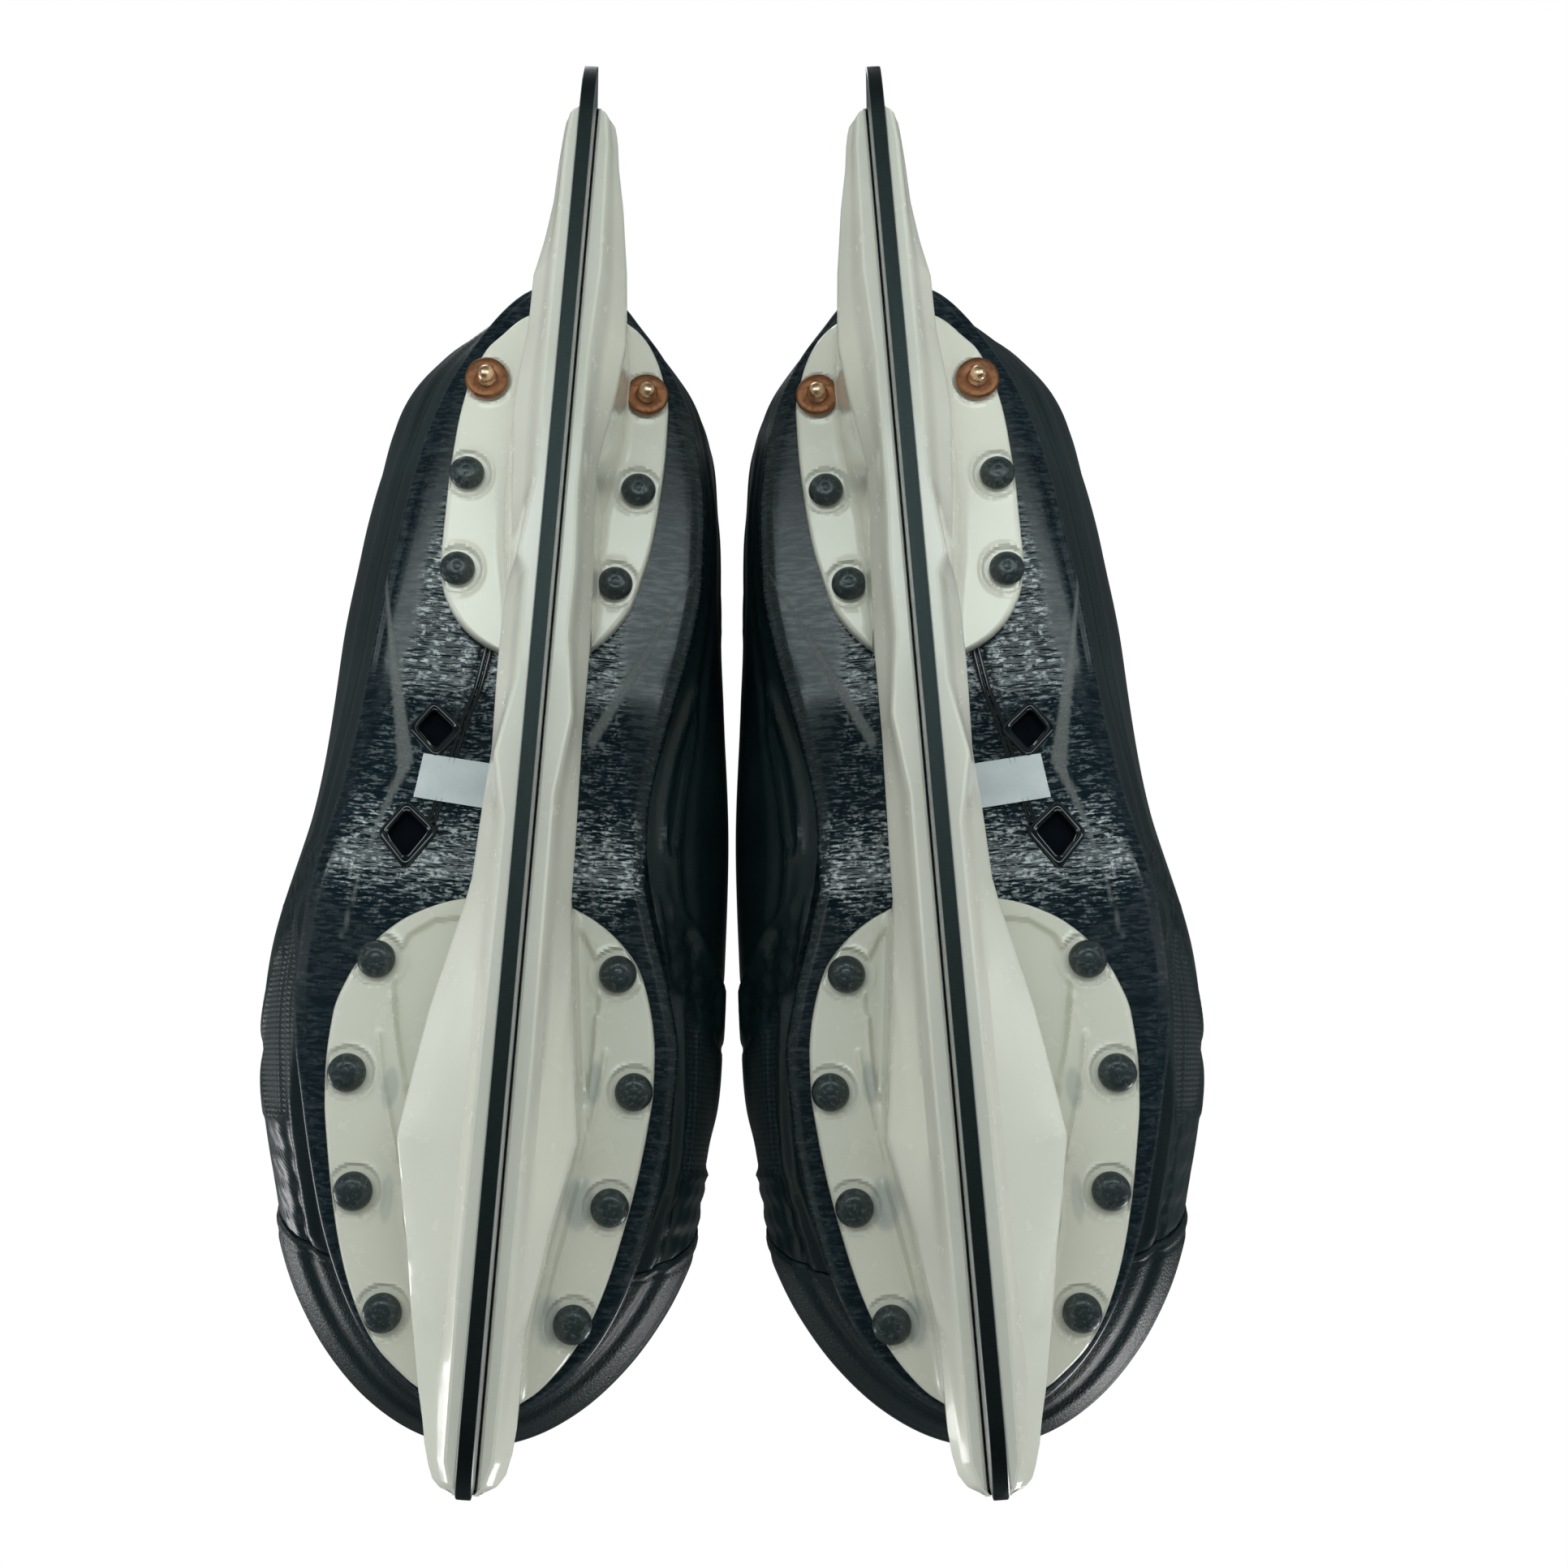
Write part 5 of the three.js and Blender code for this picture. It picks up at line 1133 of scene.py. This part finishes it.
def build_cap(side, sx):
    P, n = toe_grid()
    V = np.broadcast_to(np.linspace(0, 5, P.shape[1])[None, :], P.shape[:2])
    U = np.broadcast_to(np.linspace(0, 1, P.shape[0])[:, None], P.shape[:2])
    d = 0.55 * np.exp(-((V - 0.3) / 0.16) ** 2) - 0.35 * np.exp(-((V - 0.58) / 0.1) ** 2)
    bump = smooth01(0.62, 0.85, V) * (1 - smooth01(2.35, 2.6, V))
    d += 0.7 * bump - 0.3 * np.exp(-((V - 1.5) / 0.06) ** 2) * bump - 0.3 * np.exp(-((V - 1.72) / 0.06) ** 2) * bump
    d += 0.5 * np.exp(-((V - 3.6) / 0.14) ** 2)
    e = np.minimum(U, 1 - U)
    d -= 0.4 * (1 - smooth01(0, 0.02, e)) + 0.25 * np.exp(-((e - 0.055) / 0.012) ** 2)
    return sheet_body(f"{side}_toe_cap_shell", P + n * d[..., None], P - n * CAP_WALL, sx, M_CAP, f"{side}_skate", node=f"{side}_toe_cap", slot="toe_cap_plastic")


def build_stays(side, sx):
    for name in ("outer", "inner"):
        u = np.linspace(0, 5, 101) if name == "outer" else np.linspace(16, 11, 101)
        v = np.linspace(4, 5, 25)
        P, n = surf(np.sort(u), v)
        if name == "inner":
            P, n = P[::-1], n[::-1]
        P, n = P.copy(), n.copy()
        U = np.linspace(0, 1, 101)[:, None]
        W = np.linspace(0, 1, 25)[None, :]
        edge = np.minimum(np.minimum(U * 60, (1 - U) * 60), np.minimum(W * 15, (1 - W) * 15))
        round_ = 1 - (1 - np.clip(edge / 1.4, 0, 1)) ** 2
        groove = 0.28 * (np.exp(-((W - 0.16) / 0.03) ** 2) + np.exp(-((W - 0.86) / 0.03) ** 2))
        h = GAP + 0.5 + 1.15 * round_ - groove * (edge > 0.6)
        base = P + n * GAP
        o, i = P + n * h[..., None], base
        o[0, :, 1] -= 0.3; i[0, :, 1] -= 0.3
        ob = sheet_body(f"{side}_{name}_stay_leather", o, i, sx, M_STAY, f"{side}_skate", node=f"{side}_{name}_eyelet_stay", slot="stay")
        # eyelets and stitches
        parts, st = [], []
        for k in range(9):
            c = 5 + int(round(k * 90 / 8))
            q, m = P[c, 12], n[c, 12]
            a = np.cross(m, P[min(c + 1, 100), 12] - P[max(c - 1, 0), 12]); a /= np.linalg.norm(a)
            b = np.cross(m, a)
            prof = [(2.0, 0.9), (2.0, 1.9), (2.4, 2.2), (3.0, 2.25), (3.6, 2.0), (3.9, 1.6), (3.9, 1.4)]
            seg = 20
            Vv, Ff = [], []
            for r, hh in prof:
                for s in range(seg):
                    w = 2 * math.pi * s / seg
                    Vv.append(q + m * (GAP + hh - 0.1) + a * r * math.cos(w) + b * r * math.sin(w))
            npf = len(prof)
            for j in range(npf):
                for s in range(seg):
                    s1 = (s + 1) % seg
                    Ff.append([j * seg + s, j * seg + s1, ((j + 1) % npf) * seg + s1, ((j + 1) % npf) * seg + s])
            parts.append((Vv, Ff))
        V, F = merge(parts)
        new_object(f"{side}_{name}_eyelets", V, F, sx, M_RIVET, f"{side}_skate", slot="rivet_black")
        for row in (4, 21):
            for k in range(2, 98, 2):
                a = P[k, row] + n[k, row] * (h[k, row] + 0.05)
                b = P[k + 1, row] + n[k + 1, row] * (h[k + 1, row] + 0.05)
                mid = (a + b) / 2 + n[k, row] * 0.18
                st.append(tube([a - n[k, row] * 0.3, a * 0.8 + mid * 0.2 + n[k, row] * 0.1, mid, b * 0.8 + mid * 0.2 + n[k, row] * 0.1, b - n[k, row] * 0.3], 0.3, 6))
        V, F = merge(st)
        new_object(f"{side}_{name}_stay_stitching", V, F, sx, M_THREAD, f"{side}_skate", slot="stay")


def build_liner(side, sx):
    nu, nv = 10, 8
    u, v = np.linspace(0, 16, 16 * nu + 1), np.linspace(0, 5, 5 * nv + 1)
    P, n = surf(u, v)
    U, V = np.broadcast_to(u[:, None], P.shape[:2]), np.broadcast_to(v[None, :], P.shape[:2])
    d0 = SHELL + LINING_GAP
    pad = smooth01(3.3, 4.2, V) * smooth01(5.2, 6.4, U) * (1 - smooth01(9.6, 10.8, U))
    quilt = pad * (0.9 * np.abs(np.sin(np.pi * (V - 3.3) / 0.62)) ** 0.6 + 0.25)
    edge = np.minimum(np.clip((5 - V) / 0.5, 0, 1), np.clip(np.minimum(U, 16 - U) / 0.35, 0, 1))
    rnd = np.sqrt(np.clip(1 - (1 - edge) ** 2, 0, 1))
    mid = d0 + LINING / 2
    top = (V > 4.98)

    def shape(d):
        q = P - n * d[..., None]
        lift = 3.0 * smooth01(4.4, 5, V) * smooth01(4.8, 5.6, U) * (1 - smooth01(10.4, 11.2, U))
        q[..., 2] += lift
        q[..., 1] -= 2.5 * np.clip(1 - np.minimum(U, 16 - U) / 0.5, 0, 1)
        q[:, 0, 2] = np.maximum(q[:, 0, 2], P[:, 0, 2] + 1.2)
        return q
    o = shape(mid - (LINING / 2) * (0.25 + 0.75 * rnd))
    i = shape(mid + (LINING / 2) * (0.25 + 0.75 * rnd) + quilt * rnd)
    ob = sheet_body(f"{side}_liner_padding", o, i, sx, M_LINING, f"{side}_skate", node=f"{side}_liner", slot="lining")
    return ob


def build_tongue(side, sx):
    inset = [3.5, 4.5, 5, 5, 4.5, 4]
    rows = []
    for s in range(6):
        a, b = UPPER[s][5], UPPER[-1 - s][5]
        rows.append([a[0] - 6, b[0] + 6, (a[1] + b[1]) / 2 - 1.5 - inset[s] * 0.4 - (2.5 if s == 0 else 0), (a[2] + b[2]) / 2 - inset[s] * 0.8 + 3])
    rows += [[34, -31, 104.5, 230], [35, -32, 110, 247]]
    crown = [3.5, 4.5, 6, 8, 11, 15, 16, 15]
    G = np.zeros((8, 7, 3))
    for r, (x1, x0, t, z) in enumerate(rows):
        up, fw = (0.75, 0.5) if r < 5 else (0.15, 1)
        for k in range(7):
            w = k / 6
            bow = crown[r] * (1 - abs(2 * w - 1) ** 2.2) - crown[r] * 0.45
            G[r, k] = (x1 + (x0 - x1) * w, t + bow * fw, z + bow * up)
    u, v = np.linspace(0, 7, 113), np.linspace(0, 6, 73)
    P = catmull(catmull(G, v, axis=1), u, axis=0)
    w = np.abs(v[None, :] / 3 - 1) ** 3.2 * smooth01(5.6, 7.0, u)[:, None]
    P[..., 2] -= 11.0 * w
    P[..., 0] *= 1 - 0.10 * w
    n = grid_normals(P)
    n *= np.sign(n[len(n) // 2, 36, 2]) or 1
    thick = np.interp(u, range(8), [4.5, 6, 7, 7, 7, 7, 7, 5])[:, None]
    U, V = u[:, None] / 7, v[None, :] / 6
    e = np.minimum(np.minimum(np.minimum(U, 1 - U) * 220 / 5, 1), np.minimum(np.minimum(V, 1 - V) * 55 / 5, 1))
    rnd = np.sqrt(np.clip(1 - (1 - np.clip(e, 0, 1)) ** 2, 0, 1))
    puff = 1.0 * np.sin(np.pi * V) ** 0.5
    chan = 0.9 * np.exp(-((V - 0.5) / 0.02) ** 2) * (U > 0.08) * (U < 0.93) + 0.7 * (np.exp(-((V - 0.16) / 0.02) ** 2) + np.exp(-((V - 0.84) / 0.02) ** 2))
    cross = 0.8 * np.exp(-((U - 0.9) / 0.008) ** 2)
    o = P + n * ((-0.5 * thick * (1 - rnd) - chan * rnd - cross * rnd)[..., None])
    i = P - n * ((thick * (0.5 + 0.5 * rnd) + 0 * puff)[..., None])
    ob = sheet_body(f"{side}_tongue_felt_pad", o, i, sx, M_FELT, f"{side}_tongue", node=f"{side}_tongue", slot="tongue_felt")
    # the path of a bound edge, worked out but not built, and the stitched lines
    k0, k1 = 3, 69
    loop = [P[q, 2] - n[q, 2] * thick[q] * 0.45 for q in range(2, 111)] + [P[110, q] - n[110, q] * thick[110] * 0.45 for q in range(3, 70)] + [P[q, 70] - n[q, 70] * thick[q] * 0.45 for q in range(110, 1, -1)]
    st = []
    for V0 in (5, 67):
        for q in range(6, 108, 2):
            a, b, m = o[q, V0], o[q + 1, V0], n[q, V0]
            st.append(tube([a - m * 0.3, (a * 3 + b) / 4 + m * 0.22, (a + b) / 2 + m * 0.3, (a + b * 3) / 4 + m * 0.22, b - m * 0.3], 0.34, 6))
    Vv, F = merge(st)
    new_object(f"{side}_tongue_stitching", Vv, F, sx, M_THREAD, f"{side}_tongue", slot="stay")
    return ob


def build_guard(side, sx):
    nu, nv = 12, 20
    u, v = np.linspace(0, 16, 16 * nu + 1), np.linspace(0, 5, 5 * nv + 1)
    P, n = surf(u, v)
    mid = 8 * nu
    hts = [172, 184, 196, 206, 220, 236, 249, 256]
    half = np.array([2.4, 2.6, 2.7, 2.7, 2.6, 2.4, 2.0, 1.3]) / 4 * nu
    Z = np.linspace(0, 7, 85)
    zs, hs = np.interp(Z, range(8), hts), spline(np.stack([np.arange(8), half], 1), Z)
    K = np.linspace(-1, 1, 49)
    base, norm = np.zeros((85, 49, 3)), np.zeros((85, 49, 3))
    for r, (z, hw) in enumerate(zip(zs, hs)):
        zz = min(z, 201)
        for c, k in enumerate(K):
            col = mid + k * hw
            c0 = int(math.floor(col)); f = col - c0
            pt, nn = 0, 0
            for ci, w in ((c0, 1 - f), (c0 + 1, f)):
                line = P[ci]
                j = int(np.clip(np.searchsorted(line[:, 2], zz), 1, len(line) - 1))
                a, b = line[j - 1], line[j]
                s = min(1, (zz - a[2]) / max(b[2] - a[2], 1e-6))
                pt = pt + (a + (b - a) * s) * w
                nn = nn + n[ci][j] * w
            hn = math.hypot(nn[0], nn[1])
            lift = max(0, z - 201)
            drop = 9.0 * abs(k) ** 3.5 * float(smooth01(225, 256, z))
            base[r, c] = (pt[0], pt[1] - lift * 0.12, z - drop)
            norm[r, c] = (nn[0] / hn, nn[1] / hn, 0)
    R, C = np.linspace(0, 1, 85)[:, None], K[None, :]
    e = np.minimum(np.minimum(R * 84 / 2.2, (1 - R) * 84 / 2.2), (1 - np.abs(C)) * 35 / 2.0)
    rnd = np.sqrt(np.clip(1 - (1 - np.clip(e, 0, 1)) ** 2, 0, 1))
    ribs = 0
    for k in range(5):
        ribs = ribs + 0.45 * np.exp(-((R - 0.44 - 0.035 * k) / 0.008) ** 2) * (np.abs(C) < 0.82)
    panel = 0.4 * smooth01(0.0, 0.05, (0.72 - np.abs(C))) * smooth01(0.66, 0.7, R) * (1 - smooth01(0.93, 0.96, R))
    o = base + norm * ((0.8 + 1.7 + 1.7 * rnd - ribs - panel)[..., None])
    i = base + norm * ((0.8 + 1.7 - 1.7 * rnd)[..., None])
    return sheet_body(f"{side}_tendon_guard_moulding", o, i, sx, M_GUARD, f"{side}_guard", node=f"{side}_tendon_guard", slot="guard_plastic")


def build_footbed(side, sx):
    T = np.linspace(32, 259, 90)
    rows_o, rows_i = [], []
    for t in T:
        a, b = float(spline(SOLE, t, 1)) - 11, float(spline(SOLE, t, 2)) + 11
        if a - b < 3:
            m = (a + b) / 2
            a, b = m + 1.5, m - 1.5
        z = float(sole_z(t)) + OUTSOLE_H + GAP
        x = np.linspace(a, b, 34)
        w = (x - (a + b) / 2) / ((a - b) / 2)
        e = min((t - T[0]) / 4, (T[-1] - t) / 4, 1)
        rnd = np.sqrt(np.clip(1 - np.clip(np.abs(w) - 0.86, 0, 1) ** 2 / 0.14 ** 2, 0, 1)) * math.sqrt(max(0, 1 - (1 - max(e, 0)) ** 2))
        dish = 0.8 * (1 - w ** 2)
        rows_o.append(np.stack([x, np.full(34, t), z + (FOOTBED - 0.2) * (0.2 + 0.8 * rnd) - dish * rnd], -1))
        rows_i.append(np.stack([x, np.full(34, t), np.full(34, z)], -1))
    ob = sheet_body(f"{side}_footbed_foam", np.array(rows_o), np.array(rows_i), sx, M_BED, f"{side}_skate", node=f"{side}_footbed", slot="footbed_foam")
    return ob


def build_rivets(side, sx):
    parts, nodes = [], []
    names = ["heel_a", "heel_b"], ["fore_a", "fore_b", "fore_c", "fore_d"]
    k = 0
    for lst, nm, seat in ((HEEL_RIVETS, names[0], HEEL_SEAT), (FORE_RIVETS, names[1], FORE_SEAT)):
        z = seat - FLANGE - GAP
        for q, (x, t) in enumerate(lst):
            k += 1
            dx, dt = RNG.uniform(-0.35, 0.35, 2)
            prof = [(0, z - 2.2), (0.9, z - 2.19), (1.1, z - 2.1), (1.35, z - 2.17), (2.1, z - 1.98), (2.7, z - 1.72), (3.25, z - 1.3), (3.62, z - 0.85), (3.82, z - 0.45), (3.9, z - 0.12), (3.86, z + 0.1),
                    (3.6, z + 0.2), (1.9, z + 0.2), (1.9, seat - 0.1), (0, seat - 0.1)]
            V, F = lathe(prof, (x, t), 36)
            V = np.array(V)
            V[:, 2] += 0.02 * (V[:, 0] - x) * dx + 0.02 * (V[:, 1] - t) * dt
            parts.append((V, F))
            nodes.append(f"{side}_rivet_{nm[q // 2]}_{'outer' if q % 2 == 0 else 'inner'}")
    V, F = merge(parts)
    new_object(f"{side}_domed_rivets", V, F, sx, M_RIVET, f"{side}_skate", node=nodes, slot="rivet_black")
    parts, pins = [], []
    z = HEEL_SEAT - FLANGE
    for x, t in COPPER:
        zb = z - GAP
        prof = [(2.4, zb), (2.4, zb - 0.95), (2.6, zb - 1.05), (4.3, zb - 1.0), (4.75, zb - 0.85), (4.9, zb - 0.5), (4.9, zb - 0.12), (4.8, zb), (2.4, zb)]
        seg = 48
        V, F = [], []
        for r, zz in prof[:-1]:
            for s in range(seg):
                w = 2 * math.pi * s / seg
                V.append((x + r * math.cos(w), t + r * math.sin(w), zz + 0.06 * math.sin(2 * w + x)))
        m = len(prof) - 1
        for j in range(m):
            for s in range(seg):
                s1 = (s + 1) % seg
                F.append([j * seg + s, j * seg + s1, ((j + 1) % m) * seg + s1, ((j + 1) % m) * seg + s])
        parts.append((V, F))
        pin = [(0, z - 4.6), (0.7, z - 4.55), (1.35, z - 4.3), (1.75, z - 3.7), (1.9, z - 3.0), (1.9, z - 1.7), (2.3, z - 1.45), (2.3, z - 1.0), (1.9, z - 0.9), (1.9, HEEL_SEAT - 0.1), (0, HEEL_SEAT - 0.1)]
        V, F = lathe(pin, (x, t), 28)
        V = np.array(V)
        tip = V[:, 2] < z - 1
        V[tip, 0] += (z - 1 - V[tip, 2]) * 0.05 * math.sin(x * 3)
        V[tip, 1] -= (z - 1 - V[tip, 2]) * 0.04
        pins.append((V, F))
    V, F = merge(parts)
    new_object(f"{side}_copper_washers", V, F, sx, M_COPPER, f"{side}_skate", node=[f"{side}_copper_washer_heel_{s}" for s in ("outer", "inner")], slot="copper")
    V, F = merge(pins)
    new_object(f"{side}_copper_pins", V, F, sx, M_PIN, f"{side}_skate", node=[f"{side}_copper_pin_heel_{s}" for s in ("outer", "inner")], slot="copper")


for side, sx in SIDES:
    build_holder(side, sx)
    build_runner(side, sx)
    build_outsole(side, sx)
    build_quarters(side, sx)
    build_cap(side, sx)
    build_stays(side, sx)
    build_liner(side, sx)
    build_tongue(side, sx)
    build_guard(side, sx)
    build_footbed(side, sx)
    build_rivets(side, sx)
    for nm in ("rear_runner_bolt", "front_runner_bolt"):
        o = [ob for ob in bpy.data.objects if ob.name == f"{side}_{nm}"][0]
        o.data.materials.clear()
        o.data.materials.append(M_BOLT)

# ------------------------------------------------------------------- camera
cam = bpy.data.cameras.new("camera")
cam.sensor_fit, cam.sensor_width, cam.lens = "HORIZONTAL", 36.0, 39.13
cam.shift_x, cam.shift_y = 0.0331, 0.0
cam.clip_start, cam.clip_end = 0.01, 20
cam_ob = bpy.data.objects.new("camera", cam)
bpy.context.scene.collection.objects.link(cam_ob)
TH = math.radians(11.34)
cam_ob.matrix_world = Matrix.Translation((0, -0.07381, -0.3059)) @ Matrix((
    (-1, 0, 0, 0), (0, math.cos(TH), -math.sin(TH), 0), (0, -math.sin(TH), -math.cos(TH), 0), (0, 0, 0, 1)))
bpy.context.scene.camera = cam_ob

# -------------------------------------------------------------------- floor
fm = bpy.data.materials.new("pale_floor")
fm.use_nodes = True
nt = fm.node_tree
nt.nodes.clear()
out = nt.nodes.new("ShaderNodeOutputMaterial")
mixs = nt.nodes.new("ShaderNodeMixShader")
geo = nt.nodes.new("ShaderNodeNewGeometry")
tr = nt.nodes.new("ShaderNodeBsdfTransparent")
df = nt.nodes.new("ShaderNodeBsdfDiffuse")
df.inputs["Color"].default_value = (0.30, 0.305, 0.30, 1)
nt.links.new(geo.outputs["Backfacing"], mixs.inputs[0])
em = nt.nodes.new("ShaderNodeEmission")
em.inputs["Color"].default_value = (0.93, 0.94, 0.93, 1)
em.inputs["Strength"].default_value = 0.62
ad = nt.nodes.new("ShaderNodeAddShader")
nt.links.new(df.outputs[0], ad.inputs[0])
nt.links.new(em.outputs[0], ad.inputs[1])
nt.links.new(ad.outputs[0], mixs.inputs[1])
nt.links.new(tr.outputs[0], mixs.inputs[2])
nt.links.new(mixs.outputs[0], out.inputs["Surface"])
me = bpy.data.meshes.new("floor")
S = 14.0
me.from_pydata([(-S, -S, -0.0002), (S, -S, -0.0002), (S, S, -0.0002), (-S, S, -0.0002)], [], [(0, 1, 2, 3)])
me.materials.append(fm)
floor = bpy.data.objects.new("floor", me)
bpy.context.scene.collection.objects.link(floor)
floor.visible_diffuse = floor.visible_glossy = floor.visible_transmission = floor.visible_shadow = False

# ------------------------------------------------------------------- lights
def area(name, loc, aim, size, power, sy=None, col=(1, 1, 1)):
    L = bpy.data.lights.new(name, "AREA")
    L.energy, L.color = power, col
    L.shape = "RECTANGLE"
    L.size, L.size_y = size, sy or size
    o = bpy.data.objects.new(name, L)
    o.location = loc
    o.rotation_euler = (Vector(aim) - Vector(loc)).to_track_quat("-Z", "Y").to_euler()
    bpy.context.scene.collection.objects.link(o)
    return o


def matte(o):
    """A light that brightens surfaces without showing in their gloss."""
    o.visible_glossy = False
    return o


matte(area("below_left", (-0.75, 0.36, -0.80), (0, 0.04, 0.05), 0.9, 2.25))
matte(area("below_right", (0.75, 0.36, -0.80), (0, 0.04, 0.05), 0.9, 2.25))
matte(area("below_mid", (0.0, 0.45, -1.1), (0, 0.04, 0.05), 0.9, 0.7))
area("sole_band", (0.0, 0.165, -0.36), (0, 0.05, 0.06), 0.8, 1.0, 0.10, col=(0.88, 1.0, 1.0))
area("low_strip_left", (-0.62, 0.05, -0.30), (0, 0, 0.06), 0.10, 0.2, 0.7)
area("low_strip_right", (0.62, 0.05, -0.30), (0, 0, 0.06), 0.10, 0.2, 0.7)
area("key", (-1.2, -1.1, 0.75), (0, 0, 0.12), 0.6, 9)
area("fill", (1.4, -0.5, 0.6), (0, 0, 0.12), 0.6, 6)
area("back", (0.4, 1.5, 0.7), (0, 0, 0.12), 0.7, 7)
matte(area("top", (0.0, 0.0, 1.6), (0, 0, 0.1), 1.4, 8))

w = bpy.data.worlds.new("studio")
bpy.context.scene.world = w
w.use_nodes = True
nt = w.node_tree
nt.nodes.clear()
out = nt.nodes.new("ShaderNodeOutputWorld")
mx = nt.nodes.new("ShaderNodeMixShader")
lp = nt.nodes.new("ShaderNodeLightPath")
b1, b2, b3 = [nt.nodes.new("ShaderNodeBackground") for _ in range(3)]
b1.inputs[0].default_value = (0.95, 0.98, 1.0, 1)
b1.inputs[1].default_value = 0.38
tc = nt.nodes.new("ShaderNodeTexCoord")
sp = nt.nodes.new("ShaderNodeSeparateXYZ")
nt.links.new(tc.outputs["Generated"], sp.inputs[0])
rp_ = nt.nodes.new("ShaderNodeValToRGB")
mr = nt.nodes.new("ShaderNodeMapRange")
mr.inputs[1].default_value, mr.inputs[2].default_value = -1.0, 1.0
nt.links.new(sp.outputs[2], mr.inputs[0])
nt.links.new(mr.outputs[0], rp_.inputs[0])
e = rp_.color_ramp.elements
e[0].position, e[0].color = 0.12, (0.03, 0.045, 0.05, 1)
e[1].position, e[1].color = 0.34, (0.05, 0.06, 0.06, 1)
for pos, c in ((0.41, 0.36), (0.48, 0.5), (0.53, 0.16), (1.0, 0.08)):
    q = e.new(pos)
    q.color = (c * 0.9, c, c, 1)
nt.links.new(rp_.outputs[0], b3.inputs[0])
b3.inputs[1].default_value = 1.0
mg = nt.nodes.new("ShaderNodeMixShader")
nt.links.new(lp.outputs["Is Glossy Ray"], mg.inputs[0])
nt.links.new(b1.outputs[0], mg.inputs[1])
nt.links.new(b3.outputs[0], mg.inputs[2])
b2.inputs[0].default_value = (1, 1, 1, 1)
b2.inputs[1].default_value = 1.0
nt.links.new(lp.outputs["Is Camera Ray"], mx.inputs[0])
nt.links.new(mg.outputs[0], mx.inputs[1])
nt.links.new(b2.outputs[0], mx.inputs[2])
nt.links.new(mx.outputs[0], out.inputs["Surface"])
sc = bpy.context.scene
sc.view_settings.view_transform = "Standard"
sc.view_settings.look = "None"

bpy.context.view_layer.update()
